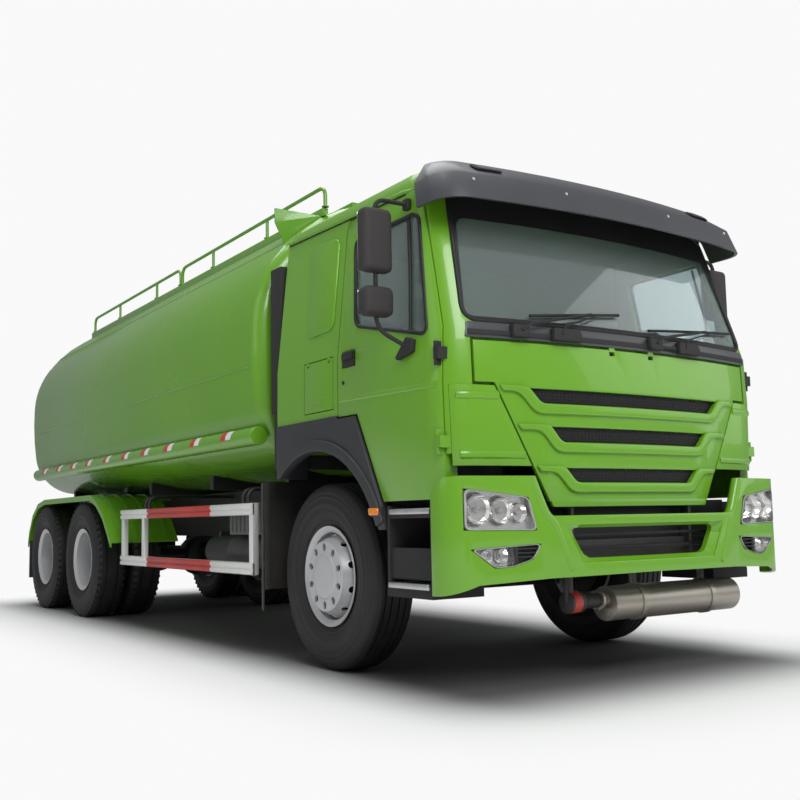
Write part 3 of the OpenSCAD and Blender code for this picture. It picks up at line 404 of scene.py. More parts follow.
def round_outline(points: Sequence[Flat], radius: float, steps: int = 4) -> list[Flat]:
    """A closed outline with rounded corners."""
    line = [Vector((u, v, 0.0)) for u, v in points]
    corners = zip(line[-1:] + line, line, line[1:] + line[:1])
    return [(p.x, p.y) for corner in corners for p in arc(*corner, radius, steps)]


@dataclass(frozen=True)
class Bow:
    """A front that bows forward, with round corners: the cab's at one level, or the bumper's."""

    half: float
    front: float
    corner: float
    radius: float = 6.1

    @property
    def corner_centre(self) -> Flat:
        """Centre of the round corner, in x and distance from the front axle."""
        reach = math.sqrt((self.radius - self.corner) ** 2 - (self.half - self.corner) ** 2)
        return (self.half - self.corner, self.radius - self.front - reach)

    def y(self, x: float) -> float:
        """Where the surface lies at x, from the front axle."""
        cx, cy = self.corner_centre
        across = abs(x)
        if across <= cx + self.corner * cx / (self.radius - self.corner):
            return self.radius - self.front - math.sqrt(self.radius**2 - across**2)
        return cy - math.sqrt(max(self.corner**2 - (across - cx) ** 2, 0.0))

    def x(self, y: float) -> float:
        """Half width of the surface at y, from the front axle."""
        cx, cy = self.corner_centre
        if y >= cy:
            return self.half
        return cx + math.sqrt(max(self.corner**2 - (y - cy) ** 2, 0.0))


@dataclass(frozen=True)
class CabSkin:
    """The cab's outside: height, half width, front and corner radius of each level."""

    levels: tuple[tuple[float, float, float, float], ...] = (
        (0.78, 1.192, 1.382, 0.19), (1.53, 1.2, 1.4, 0.19), (1.8, 1.197, 1.39, 0.19),
        (2.655, 1.108, 1.12, 0.16), (2.715, 1.07, 1.075, 0.14), (2.78, 0.78, 0.75, 0.13))

    def bow(self, z: float) -> Bow:
        """The outline at a height."""
        for low, high in zip(self.levels, self.levels[1:]):
            if z <= high[0]:
                t = max(0.0, (z - low[0]) / (high[0] - low[0]))
                return Bow(*(a + (b - a) * t for a, b in zip(low[1:], high[1:])))
        return Bow(*self.levels[-1][1:])

    def front(self, x: float, z: float, out: float = 0.0) -> Point:
        """A point on the front, in the row's frame, out in front of it by so much."""
        return (x, along(self.bow(z).y(x)) - out, z)

    def flank(self, side: Side, y: float, z: float, out: float = 0.0) -> Point:
        """A point on the side at y from the front axle, out from it by so much."""
        return (side.value * (self.bow(z).x(y) + out), along(y), z)


CAB = CabSkin()
BUMPER = Bow(half=1.25, front=1.495, corner=0.15)
VISOR_SKIN = CabSkin((
    (2.475, 1.165, 1.405, 0.17), (2.62, 1.145, 1.345, 0.16), (2.735, 1.075, 1.19, 0.14), (2.765, 0.96, 1.11, 0.12)))
DRAPE_HALF = 1.3
DRAPE_SHADING = 32


def bend_back(obj: Obj, surface: CabSkin | Bow) -> Obj:
    """Moves a piece drawn at y = 0 onto a bowed front; its y becomes the depth behind the surface."""
    for vertex in obj.data.vertices:
        x, depth, z = vertex.co
        bow = surface.bow(z) if isinstance(surface, CabSkin) else surface
        vertex.co.y = along(bow.y(x)) + depth
    return obj


def drape_front(obj: Obj, surface: CabSkin | Bow, pitch: float = 0.1) -> Obj:
    """Slices a flat piece every pitch across the truck and bends it onto a bowed front."""
    count = int(DRAPE_HALF / pitch)
    Bench.slices(obj, Axis.X, [i * pitch for i in range(-count, count + 1)])
    return Bench.smooth(bend_back(obj, surface), DRAPE_SHADING)


def drape_side(obj: Obj, side: Side) -> Obj:
    """Bends a piece drawn flat at x = 0 onto the cab's side; its x becomes the distance out from it."""
    Bench.slices(obj, Axis.Z, [1.53, 1.8, 2.2, 2.655])
    for vertex in obj.data.vertices:
        out, y, z = vertex.co
        vertex.co.x = side.value * (CAB.bow(z).x(y - AXLE_Y) + out)
    with Bench.editing(obj):
        Bench.outward()
    return Bench.smooth(obj, DRAPE_SHADING)


def grey(level: float) -> tuple[float, float, float, float]:
    """An opaque grey."""
    return (level, level, level, 1.0)


class Graph:
    """The node tree of a material or world. An input takes a value, or a socket that is linked to it."""

    def __init__(self, owner: bpy.types.Material | bpy.types.World) -> None:
        owner.use_nodes = True
        self.nodes, self.links = owner.node_tree.nodes, owner.node_tree.links

    def fill(self, node: bpy.types.Node, inputs: dict[str | int, object]) -> bpy.types.Node:
        """Links or sets a node's inputs."""
        for key, value in inputs.items():
            if isinstance(value, Socket):
                self.links.new(value, node.inputs[key])
            else:
                node.inputs[key].default_value = value
        return node

    def add(self, kind: str, inputs: dict[str | int, object] | None = None, **settings: object) -> bpy.types.Node:
        """Adds a shader node with its settings and inputs."""
        node = self.nodes.new("ShaderNode" + kind)
        for key, value in settings.items():
            setattr(node, key, value)
        return self.fill(node, inputs or {})

    def math(self, operation: str, *values: object) -> Socket:
        """The result of a sum on values or sockets."""
        return self.add("Math", dict(enumerate(values)), operation=operation).outputs["Value"]

    def noise(self, vector: Socket, scale: float, detail: float) -> Socket:
        """A noise pattern."""
        return self.add("TexNoise", {"Vector": vector, "Scale": scale, "Detail": detail}).outputs["Fac"]

    def bump(self, height: Socket, strength: float, distance: float) -> Socket:
        """A relief from a pattern."""
        inputs = {"Height": height, "Strength": strength, "Distance": distance}
        return self.add("Bump", inputs).outputs["Normal"]

    def mix(self, share: Socket, first: object, second: object) -> Socket:
        """A mix of two colours."""
        inputs = {"Factor": share, "A": first, "B": second}
        return self.add("Mix", inputs, data_type="RGBA").outputs["Result"]

    def surface(self, share: Socket, first: Socket, second: Socket, output: str) -> None:
        """Mixes two shaders into the output."""
        mix = self.add("MixShader", {"Fac": share, 1: first, 2: second})
        self.fill(self.nodes[output], {"Surface": mix.outputs["Shader"]})


@dataclass(frozen=True)
class Finish:
    """A surface finish with colour, gloss, small variation and fine relief.

    The patterns run on Object coordinates, with their scales per metre.
    """

    name: str
    colour: tuple[float, float, float]
    rough: float
    slot: str
    metal: float = 0.0
    coat: float = 0.0
    vary: float = 0.06
    patch: float = 3.0
    grain: float = 220.0
    relief: float = 0.02
    dust: float = 0.0
    stretch: tuple[float, float, float] = (1.0, 1.0, 1.0)

    def material(self) -> bpy.types.Material:
        """The finish as a node material, made once."""
        known = bpy.data.materials.get(self.name)
        if known:
            return known
        mat = bpy.data.materials.new(self.name)
        graph = Graph(mat)
        coords = graph.add("TexCoord").outputs["Object"]
        mapped = graph.add("Mapping", {"Vector": coords, "Scale": self.stretch}).outputs["Vector"]
        patches = graph.noise(mapped, self.patch, 4.0)
        ramp = graph.add("ValToRGB", {"Fac": patches})
        for end, place, factor in zip(ramp.color_ramp.elements, (0.3, 0.7), (1 - self.vary, 1 + self.vary)):
            end.position = place
            end.color = (*(min(1.0, c * factor) for c in self.colour), 1.0)
        colour = ramp.outputs["Color"]
        if self.dust:
            colour = self.dusted(graph, coords, colour)
        gloss = {"Value": patches, "To Min": self.rough * 0.85, "To Max": min(1.0, self.rough * 1.2)}
        shader = graph.fill(graph.nodes["Principled BSDF"], {
            "Base Color": colour,
            "Roughness": graph.add("MapRange", gloss).outputs["Result"],
            "Metallic": self.metal,
            "Coat Weight": self.coat,
            "Coat Roughness": 0.04,
            "Normal": graph.bump(graph.noise(mapped, self.grain, 2.0), self.relief, 0.004),
        })
        graph.fill(shader, self.extras(graph, mapped))
        return mat

    def dusted(self, graph: Graph, coords: Socket, colour: Socket) -> Socket:
        """Lays road dust over the colour, thicker near the ground."""
        height = graph.add("SeparateXYZ", {"Vector": coords}).outputs["Z"]
        fall = {"Value": height, "From Min": 0.0, "From Max": 1.1, "To Min": self.dust, "To Max": self.dust * 0.25}
        share = graph.add("MapRange", fall).outputs["Result"]
        return graph.mix(graph.math("MULTIPLY", share, graph.noise(coords, 9.0, 6.0)), colour, (0.2, 0.17, 0.13, 1.0))

    def extras(self, graph: Graph, mapped: Socket) -> dict[str, object]:
        """What one kind of finish adds to the shader's inputs."""
        return {}


@dataclass(frozen=True)
class ClearFinish(Finish):
    """Glass or a clear lens."""

    clear: float = 0.9
    ior: float = 1.45

    def extras(self, graph: Graph, mapped: Socket) -> dict[str, object]:
        """Lets light through."""
        return {"Transmission Weight": self.clear, "IOR": self.ior}


@dataclass(frozen=True)
class ClothFinish(Finish):
    """Seat cloth: a fine weave of two crossed waves."""

    wave: float = 13.0

    def extras(self, graph: Graph, mapped: Socket) -> dict[str, object]:
        """Adds the weave's relief and the cloth's sheen."""
        inputs = {"Scale": self.wave, "Distortion": 0.6, "Vector": mapped}
        waves = [graph.add("TexWave", inputs, bands_direction=way).outputs["Fac"] for way in "XZ"]
        return {"Sheen Weight": 0.4, "Normal": graph.bump(graph.math("MULTIPLY", *waves), 0.35, 0.002)}


PAINT = Finish("body_paint", (0.142, 0.375, 0.012), 0.32, "cab_paint", coat=0.45, vary=0.03, patch=1.3, grain=420.0,
               relief=0.006)
TANK_PAINT = Finish("tank_paint", (0.14, 0.36, 0.02), 0.26, "green_paint", coat=0.45, vary=0.05, patch=0.8,
                    grain=90.0, relief=0.01, dust=0.02)
CHASSIS = Finish("chassis_paint", (0.016, 0.016, 0.018), 0.42, "chassis_black", vary=0.2, patch=5.0, grain=180.0,
                 relief=0.12, dust=0.25)
IRON = Finish("cast_metal", (0.06, 0.062, 0.066), 0.55, "engine_grey", metal=0.4, vary=0.25, patch=7.0, grain=120.0,
              relief=0.3, dust=0.3)
GUARD_WHITE = Finish("guard_white", (0.8, 0.8, 0.78), 0.36, "guard_white", vary=0.04, patch=5.0, relief=0.03,
                     dust=0.12)
GUARD_RED = Finish("guard_red", (0.5, 0.045, 0.036), 0.38, "guard_white", vary=0.12, patch=6.0, relief=0.03,
                   dust=0.08)
SATIN_STEEL = Finish("satin_steel", (0.4, 0.365, 0.32), 0.34, "silencer_steel", metal=0.85, vary=0.1, patch=6.0,
                     grain=90.0, relief=0.08, stretch=(0.4, 6.0, 6.0))
TREAD_PLATE = Finish("bright_aluminium", (0.62, 0.62, 0.62), 0.32, "aluminium", metal=0.9, vary=0.08, patch=14.0,
                     relief=0.06, dust=0.08)
BOX_PLASTIC = Finish("box_plastic", (0.1, 0.103, 0.108), 0.6, "box_grey", vary=0.12, patch=8.0, grain=320.0,
                     relief=0.2, dust=0.3)
BLACK_PLASTIC = Finish("black_plastic", (0.014, 0.014, 0.016), 0.48, "black_plastic", vary=0.15, patch=9.0,
                       grain=420.0, relief=0.18, dust=0.04)
VISOR = Finish("visor_plastic", (0.055, 0.057, 0.064), 0.4, "visor_grey", coat=0.1, patch=4.0, grain=500.0,
               relief=0.05)
FLARE = Finish("flare_plastic", (0.03, 0.031, 0.036), 0.5, "flare_grey", vary=0.1, patch=6.0, grain=520.0,
               relief=0.2, dust=0.06)
RUBBER = Finish("tyre_rubber", (0.009, 0.009, 0.0095), 0.58, "tyre", vary=0.25, patch=6.0, grain=260.0, relief=0.3,
                dust=0.06)
FLAP_RUBBER = Finish("flap_rubber", (0.014, 0.014, 0.014), 0.7, "mudflap_rubber", vary=0.15, patch=7.0, grain=200.0,
                     relief=0.25, dust=0.3)
SEAL = Finish("seal_rubber", (0.008, 0.008, 0.009), 0.55, "black_plastic", vary=0.1, relief=0.05)
RIM = Finish("rim_silver", (0.4, 0.4, 0.43), 0.24, "rim_silver", metal=0.95, vary=0.1, patch=9.0, relief=0.05,
             dust=0.08)
MIRROR_SHELL = Finish("mirror_shell", (0.03, 0.026, 0.026), 0.42, "mirror_shell", vary=0.1, grain=500.0, relief=0.15)
INTERIOR = Finish("interior_plastic", (0.07, 0.07, 0.075), 0.6, "interior", vary=0.08, grain=400.0, relief=0.25)
CHROME = Finish("reflector_chrome", (0.86, 0.85, 0.83), 0.1, "lens", metal=1.0, vary=0.02)
LAMP_CASE = Finish("lamp_case", (0.42, 0.42, 0.42), 0.22, "lens", metal=0.95, vary=0.05)
LOOKING_GLASS = Finish("looking_glass", (0.9, 0.9, 0.9), 0.03, "mirror_shell", metal=1.0, vary=0.01, relief=0.0)
AMBER = Finish("amber_lens", (0.85, 0.24, 0.01), 0.2, "lens", coat=0.6, vary=0.05, patch=60.0, relief=0.1)
RED_LENS = Finish("red_lens", (0.55, 0.012, 0.01), 0.2, "lens", coat=0.6, vary=0.05, patch=60.0, relief=0.1)
RED_TAPE = Finish("red_tape", (0.55, 0.03, 0.025), 0.3, "green_paint", vary=0.05, patch=40.0, relief=0.05)
WHITE_TAPE = Finish("white_tape", (0.82, 0.82, 0.8), 0.3, "green_paint", vary=0.04, patch=40.0, relief=0.05)
SCREEN = ClearFinish("screen_glass", (0.72, 0.82, 0.83), 0.0, "glass", vary=0.01, relief=0.0)
GLASS = ClearFinish("window_glass", (0.56, 0.66, 0.67), 0.0, "glass", vary=0.01, relief=0.0, clear=0.86)
LENS = ClearFinish("clear_lens", (0.93, 0.93, 0.93), 0.0, "lens", vary=0.01, grain=60.0, relief=0.01, clear=0.98)
CLOTH = ClothFinish("seat_cloth", (0.045, 0.046, 0.055), 0.85, "seat_fabric", vary=0.15, patch=20.0)


class Part:
    """A sub-assembly: builds its pieces, gives them finishes and mounts them on their bodies."""

    def fit(self, obj: Obj, finish: Finish | None, body: str, *nodes: str, name: str = "", slot: str = "") -> Obj:
        """Gives a piece its finish and body.

        Args:
            obj: The piece.
            finish: Its finish, or None where its joined parts have theirs.
            body: The CAD body that it rides on.
            *nodes: CAD nodes that it stands for.
            name: Its name, if it has another one so far.
            slot: Not used.

        Returns:
            The piece.
        """
        if name:
            obj.name = name
        if finish is not None:
            self.paint(obj, finish)
        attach(obj, body)
        if nodes:
            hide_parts(*nodes)
        log.info("%s rides on %s", obj.name, body)
        return obj

    def dress(self, node: str, name: str, finish: Finish, *rounding: float, body: str = "chassis") -> Obj:
        """Puts a refined copy in a CAD node's place; rounding is its edges' width and their faces."""
        return self.fit(Bench.refined(node, name, *rounding), finish, body, node)

    def assemble(self, name: str, parts: dict[Finish, list[Obj]], slot: str, body: str, *nodes: str,
                 flip: bool = False) -> Obj:
        """Joins parts of several finishes into one piece, mirrors it if asked, and mounts it."""
        piece = Bench.join(name, [self.paint(part, finish) for finish, group in parts.items() for part in group])
        if flip:
            Bench.flip(piece)
        return self.fit(piece, None, body, *nodes, slot=slot)

    @staticmethod
    def paint(obj: Obj, finish: Finish) -> Obj:
        """Gives all of a piece one finish."""
        obj.data.materials.clear()
        obj.data.materials.append(finish.material())
        return obj

    @staticmethod
    def accent(obj: Obj, finish: Finish, inside: Callable[[Vector, Vector], bool]) -> None:
        """Gives a second finish to the faces whose centre and normal pass the test."""
        obj.data.materials.append(finish.material())
        slot = len(obj.data.materials) - 1
        for face in obj.data.polygons:
            if inside(face.center, face.normal):
                face.material_index = slot

    def keep(self, finish: Finish, *nodes: str) -> None:
        """Gives CAD nodes that stay as they are a better finish."""
        for name in nodes:
            self.paint(Frame.nodes[name], finish)

    def build(self) -> None:
        """Builds the sub-assembly."""
        raise NotImplementedError


@dataclass
class Chassis(Part):
    """Frame, axles, springs, engine block and drive shafts under the truck."""

    cover_h: float = 0.1
    cylinders: int = 6
    manifold_at: float = 0.86

    def build(self) -> None:
        """Rounds the parts that show and gives all of them their finishes."""
        for node in ("frame", "front_axle", "rear_axles", "rear_bar"):
            self.dress(node, node + "_dressed", CHASSIS, 0.003)
        self.keep(CHASSIS, "tie_rod", "knuckle_left", "knuckle_right")
        self.keep(IRON, "driveline")
        self.engine()
        self.keep(BLACK_PLASTIC, "radiator")

    def engine(self) -> None:
        """An in-line six inside the engine's box: crankcase, rocker covers, manifolds and pulleys."""
        low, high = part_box("engine")
        middle, half = (low.x + high.x) / 2, (high.x - low.x) / 2
        deck = high.z - self.cover_h
        pitch = (high.y - low.y - 0.14) / self.cylinders

        def wide(name: str, share: float, ys: Flat, zs: Flat, bevel: float, segments: int = 3) -> Obj:
            """A block in the middle, over a share of the engine's width."""
            return Bench.block(
                name, (middle - half * share, ys[0], zs[0]), (middle + half * share, ys[1], zs[1]), bevel, segments)

        iron = [
            wide("case", 0.72, (low.y + 0.06, high.y - 0.02), (low.z + 0.1, deck), 0.02),
            wide("sump", 0.5, (low.y + 0.1, high.y - 0.06), (low.z, low.z + 0.12), 0.03),
        ]
        pipes = [middle + sign * half * self.manifold_at for sign in (-1, 1)]
        ends = (low.y + 0.1, high.y - 0.05)
        steel = [Bench.pipe("manifold", [(x, y, deck - 0.09) for y in ends], half * 0.12, 5) for x in pipes]
        for i in range(self.cylinders):
            start = low.y + 0.09 + i * pitch
            y = start + pitch / 2
            spans = ((start + 0.012, start + pitch - 0.012), (deck - 0.01, high.z - 0.012))
            steel.append(wide("cover", 0.5, *spans, 0.02))
            iron.append(Bench.drum("knob", Axis.Z, (middle, y, high.z - 0.016), 0.014, 0.016, 6, 0.002))
            iron.append(wide("rib", 0.75, (y - 0.01, y + 0.01), (low.z + 0.14, deck - 0.2), 0.006, 2))
            for sign, x in zip((-1, 1), pipes):
                runner = [(middle + sign * half * 0.6, y, deck - 0.05), (x, y, deck - 0.09)]
                iron.append(Bench.pipe("runner", runner, 0.024, 4))
        pulleys = [
            Bench.drum("pulley", Axis.Y, (middle + x, low.y + 0.005, deck - drop), 0.07, radius, 28, 0.008)
            for x, drop, radius in ((0.0, 0.42, 0.11), (0.16, 0.2, 0.06), (-0.15, 0.24, 0.07))]
        parts = {IRON: iron, SATIN_STEEL: steel, CHASSIS: pulleys}
        self.assemble("engine_block", parts, IRON.slot, "chassis", "engine")


@dataclass
class Tank(Part):
    """The drum with its marker tubes, walkway, handrails, manhole and outlet."""

    front: float = 0.76
    rear: float = 6.62
    tape_places: tuple[float, ...] = (1.18, 1.736, 2.273, 2.795, 3.29, 3.8, 4.35, 4.85, 5.37, 5.93)
    tape_length: float = 0.085
    tape_angles: tuple[float, ...] = (-4, 12, 28, 44, 60)
    tube_radius: float = 0.062
    seam_heights: Flat = (1.9, 2.78)
    seam_steps: int = 20
    rail_x: float = 0.65
    rail_top: float = 3.222
    rail_foot: float = 3.07
    rail_radius: float = 0.014
    sections: tuple[tuple[float, float, Flat], ...] = ((0.82, 3.5, (1.74, 2.79)), (3.545, 6.16, (4.17, 5.28)))

    def build(self) -> None:
        """Builds the tank's pieces."""
        self.seams(self.dress("tank", "tank_shell", TANK_PAINT, 0.0))
        self.dress("side_tubes", "marker_tubes", TANK_PAINT, 0.006, 3)
        self.dress("walkway", "walkway_plate", TANK_PAINT, 0.003)
        self.dress("discharge_pipe", "outlet_pipe", TANK_PAINT, 0.002)
        self.dress("manhole_lid", "lid", TANK_PAINT, body="manhole_lid")
        self.tapes()
        self.handrails()

    def seams(self, shell: Obj) -> None:
        """Welded seams along both flanks, where the drum's sheets meet."""
        start, length = self.front + 0.12, self.rear - self.front - 0.24
        parts = []
        for side in Side:
            for z in self.seam_heights:
                places = []
                for i in range(self.seam_steps + 1):
                    y = along(start + length * i / self.seam_steps)
                    hit, spot, _, _ = shell.ray_cast((side.value * 2.0, y, z), (-side.value, 0.0, 0.0))
                    if hit:
                        places.append((spot.x, y, z))
                parts.append(Bench.pipe("seam", places, 0.005))
        self.fit(Bench.join("tank_seams", parts), TANK_PAINT, "chassis")

    def tapes(self) -> None:
        """Red and white reflecting tapes along both marker tubes."""
        low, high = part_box("side_tubes")
        x, z = high.x - self.tube_radius, (low.z + high.z) / 2
        angles = [math.radians(a) for a in self.tape_angles]
        arcs = [(self.tube_radius + 0.0012, a) for a in angles] + [(self.tube_radius - 0.001, a) for a in angles[::-1]]
        for colour, finish, shift in (("red", RED_TAPE, 0.0), ("white", WHITE_TAPE, -self.tape_length)):
            strips = []
            for side in Side:
                outline = [(side.value * (x + r * math.cos(a)), z + r * math.sin(a)) for r, a in arcs]
                strips += [
                    Bench.plate("tape", outline, Axis.Y, along(place + shift), self.tape_length)
                    for place in self.tape_places]
            self.fit(Bench.join("tapes_" + colour, strips), finish, "chassis")

    def handrails(self) -> None:
        """Tubes with ends bent down to the tank, and posts between them."""
        low, top = self.rail_foot, self.rail_top
        parts = []
        for side in Side:
            x = side.value * self.rail_x
            for start, end, posts in self.sections:
                line = [(x, along(y), z) for y, z in ((start, low), (start, top), (end, top), (end, low))]
                parts.append(Bench.pipe("rail", fillet(line, 0.09), self.rail_radius))
                for p in posts:
                    parts.append(Bench.pipe("post", [(x, along(p), z) for z in (low, top)], self.rail_radius * 0.9))
                for p in (start, end, *posts):
                    parts.append(Bench.drum("foot", Axis.Z, (x, along(p), low), 0.006, 0.026, 16))
        self.fit(Bench.join("rails", parts), TANK_PAINT, "chassis", "handrails")


@dataclass
class SideGuard(Part):
    """Side guards: W-shaped white rails with a red middle, posts and bent stays."""

    heights: Flat = (0.52, 0.912)
    rail_h: float = 0.08
    fold: float = 0.012
    outer: float = 1.2
    ends: tuple[float, ...] = (0.864, 1.55, 2.85, 3.51)
    dark_above: float = 1.0
    dark_within: float = 1.13

    def build(self) -> None:
        """Builds both guards."""
        stays = self.dress("side_guards", "guard_stays", GUARD_WHITE, 0.003)
        self.accent(stays, CHASSIS, lambda centre, _: centre.z > self.dark_above or abs(centre.x) < self.dark_within)
        for side in Side:
            for z in self.heights:
                skins = [self.skin(side, z, a, b) for a, b in zip(self.ends, self.ends[1:])]
                parts = {GUARD_WHITE: skins[::2], GUARD_RED: skins[1:2]}
                self.assemble(f"guard_rail_{side.word}_{int(z * 1000)}", parts, "guard_white", "chassis")

    def skin(self, side: Side, z: float, start: float, end: float) -> Obj:
        """A length of the rail's W-shaped face."""
        step, h = side.value * self.fold, self.rail_h
        shape = ((0, 0), (1, 0.006), (1, 0.03), (0.2, 0.036), (0.2, h - 0.036), (1, h - 0.03), (1, h - 0.006),
                 (0, h), (-1, h), (-1, 0))
        outline = [(side.value * self.outer + step * u, z + v) for u, v in shape]
        return Bench.plate("skin", outline, Axis.Y, along(start), end - start, 0.002)


@dataclass
class Cab(Part):
    """The cab's painted shell, its seals, visor, flares and the pieces inside."""

    glass_round: float = 0.06
    ridge_end: float = -1.275
    dark_top: float = 1.46
    gutter_ys: tuple[float, ...] = (0.48, 0.2, -0.2, -0.6, -0.85, -1.0, -1.04)
    bolt_xs: tuple[float, ...] = (-0.98, -0.4, 0.4, 0.98)
    lamp_x: float = 0.83

    def build(self) -> None:
        """Builds the cab's pieces."""
        shell = self.dress("cab_shell", "cab_body", PAINT, 0.0, body="cab")
        self.accent(shell, CHASSIS, self.under)
        self.accent(shell, BLACK_PLASTIC, self.proud)
        self.dress("corner_panels", "front_corners", PAINT, 0.012, 4, body="cab")
        self.dress("arch_flares", "wheel_arches", FLARE, 0.006, body="cab")
        self.dress("visor", "sun_visor", VISOR, 0.0, body="cab")
        self.dress("windscreen", "screen_pane", SCREEN, 0.0, body="cab")
        self.keep(INTERIOR, "dashboard", "steering_wheel")
        for side in Side:
            hatch = "hatch_" + side.word
            self.dress(hatch, "tool_" + hatch, PAINT, 0.003, body=hatch)
            pull = self.pad([(-0.11, 1.55), (0.03, 1.55), (0.05, 1.6), (-0.13, 1.6)], 0.02, 0.004, side)
            self.fit(pull, PAINT, hatch, name="hatch_pull_" + side.word)
            panel = self.pad([(0.15, 2.56), (-0.185, 2.53), (-0.19, 1.975), (0.115, 1.965)], 0.06, 0.011, side)
            self.fit(panel, PAINT, "cab", name="quarter_panel_" + side.word)
            self.gutter(side)
            self.arch_lip(side)
        self.panel_ridges()
        self.seals()
        self.screen_bands()
        self.markers()
        self.visor_fittings()
        self.seats()

    def under(self, centre: Vector, normal: Vector) -> bool:
        """Whether a face of the shell belongs to the dark underside and wheelhouses."""
        if centre.z > self.dark_top:
            return False
        reach = math.hypot(centre.y - AXLE_Y, centre.z - AXLE_Z)
        outward = normal.x * math.copysign(1.0, centre.x)
        return abs(centre.x) < 1.12 or (outward < 0.7 and reach < 1.2)

    @staticmethod
    def proud(centre: Vector, normal: Vector) -> bool:
        """Whether a face belongs to the door hinges' lugs in front of the door."""
        y = centre.y - AXLE_Y
        return -1.29 < y < -1.17 and 1.5 < centre.z < 2.0 and abs(centre.x) > CAB.bow(centre.z).x(y) + 0.002

    @staticmethod
    def pad(outline: Sequence[Flat], radius: float, out: float, side: Side) -> Obj:
        """A low rounded panel on the cab's side, drawn in y from the front axle and z."""
        plate = Bench.plate("pad", beside(outline), Axis.X, -0.004, out + 0.004, rounded=radius)
        return drape_side(Bench.bevel(plate, out * 0.9, 3), side)

    def panel_ridges(self) -> None:
        """Soft ridges along the top and bottom of the corner panels."""
        parts = []
        for side in Side:
            for z, start in ((1.47, 0.895), (1.175, 0.745)):
                xs = [start + (1.19 - start) * math.sin(math.pi / 2 * i / 24) for i in range(25)]
                line = [
                    (side.value * (x - 0.024 * max(0.0, x - 1.08) / 0.11), along(CAB.bow(z).y(x)) + 0.022, z)
                    for x in xs if CAB.bow(z).y(x) < self.ridge_end]
                parts.append(Bench.pipe("ridge", line, 0.03, 5))
        self.fit(Bench.join("corner_ridges", parts), PAINT, "cab")

    def gutter(self, side: Side) -> None:
        """The drip rail along the roof's edge, with its dark joint below."""
        places = [(y, 2.652 - (0.48 - y) * 0.028) for y in self.gutter_ys]
        for word, finish, drop, out, radius in (("rail", PAINT, 0.0, 0.004, 0.011), ("joint", SEAL, 0.016, 0.0, 0.004)):
            line = [CAB.flank(side, y, z - drop, out) for y, z in places]
            self.fit(Bench.pipe(f"drip_{word}_{side.word}", line, radius), finish, "cab")

    def arch_lip(self, side: Side) -> None:
        """The raised inner band of the wheel arch."""
        angles = [math.radians(a) for a in range(53, 158, 4)]
        arcs = [(0.7285, a) for a in angles] + [(0.795, a) for a in angles[::-1]]
        outline = [(along(r * math.cos(a)), AXLE_Z + r * math.sin(a)) for r, a in arcs]
        lip = Bench.bevel(Bench.plate("lip", outline, Axis.X, 0.004, 0.026), 0.009, 3)
        self.fit(drape_side(lip, side), FLARE, "cab", name="arch_lip_" + side.word)

    def screen_bands(self) -> None:
        """The windscreen's black frit band, whose wide top is also painted shade from the visor, and the dark panel
        below it.
        """
        # Thin at the sides and foot; the wide top band is the black frit plus the visor's shade, painted black.
        outer = round_outline(trapezoid(1.065, 1.855, 0.985, 2.6), 0.09, 6)
        inner = round_outline(trapezoid(1.056, 1.872, 0.976, 2.43), 0.06, 6)
        border = Bench.plate("border", outer, Axis.Y, -0.002, 0.0015)
        Bench.cut(border, Bench.plate("hole", inner, Axis.Y, -0.01, 0.02))
        self.fit(drape_front(border, CAB), SEAL, "cab", name="screen_border")
        cowl = Bench.plate("cowl", trapezoid(1.075, 1.76, 1.06, 1.842), Axis.Y, -0.006, 0.01, 0.003, 0.012)
        self.fit(drape_front(cowl, CAB), VISOR, "cab", name="cowl_panel")

    def visor_fittings(self) -> None:
        """Bolts and oblong marker lamps on the visor."""
        bolts = [
            Bench.drum("bolt", Axis.Y, VISOR_SKIN.front(x, 2.585, 0.004), 0.01, 0.008, 12, 0.002)
            for x in self.bolt_xs]
        bases, lamps = [], []
        for x in (-self.lamp_x, self.lamp_x):
            base = rect(x - 0.085, 2.668, x + 0.085, 2.718)
            bases.append(drape_front(Bench.plate("base", base, Axis.Y, -0.02, 0.03, 0.008, 0.024), VISOR_SKIN, 0.05))
            lamp = rect(x - 0.066, 2.676, x + 0.066, 2.71)
            lamps.append(drape_front(Bench.plate("lamp", lamp, Axis.Y, -0.026, 0.01, 0.004, 0.016), VISOR_SKIN, 0.05))
        parts = {TREAD_PLATE: bolts, BLACK_PLASTIC: bases, INTERIOR: lamps}
        self.assemble("visor_fittings", parts, "visor_grey", "cab")

    def seals(self) -> None:
        """The windscreen's rubber seal."""
        e = self.glass_round
        outline = round_outline(trapezoid(1.01 + e, 1.91 - e, 0.93 + e, 2.545 + e), 0.09, 6)
        points: list[Point] = []
        for (x0, z0), (x1, z1) in zip(outline, outline[1:] + outline[:1]):
            count = max(1, int(abs(x1 - x0) / 0.1))
            points += [CAB.front(x0 + (x1 - x0) * i / count, z0 + (z1 - z0) * i / count) for i in range(count)]
        self.fit(Bench.pipe("screen_seal", points, 0.012, 3, True), SEAL, "cab")

    def markers(self) -> None:
        """Amber side markers on the arches."""
        for side in Side:
            frame = self.pad([(-0.72, 0.878), (-0.6, 0.878), (-0.59, 0.938), (-0.71, 0.938)], 0.018, 0.024, side)
            outline = beside([(-0.706, 0.888), (-0.612, 0.888), (-0.604, 0.928), (-0.698, 0.928)])
            lamp = drape_side(Bench.plate("marker", outline, Axis.X, 0.014, 0.02, 0.005, 0.012), side)
            self.assemble("side_marker_" + side.word, {BLACK_PLASTIC: [frame], AMBER: [lamp]}, "lens", "cab")

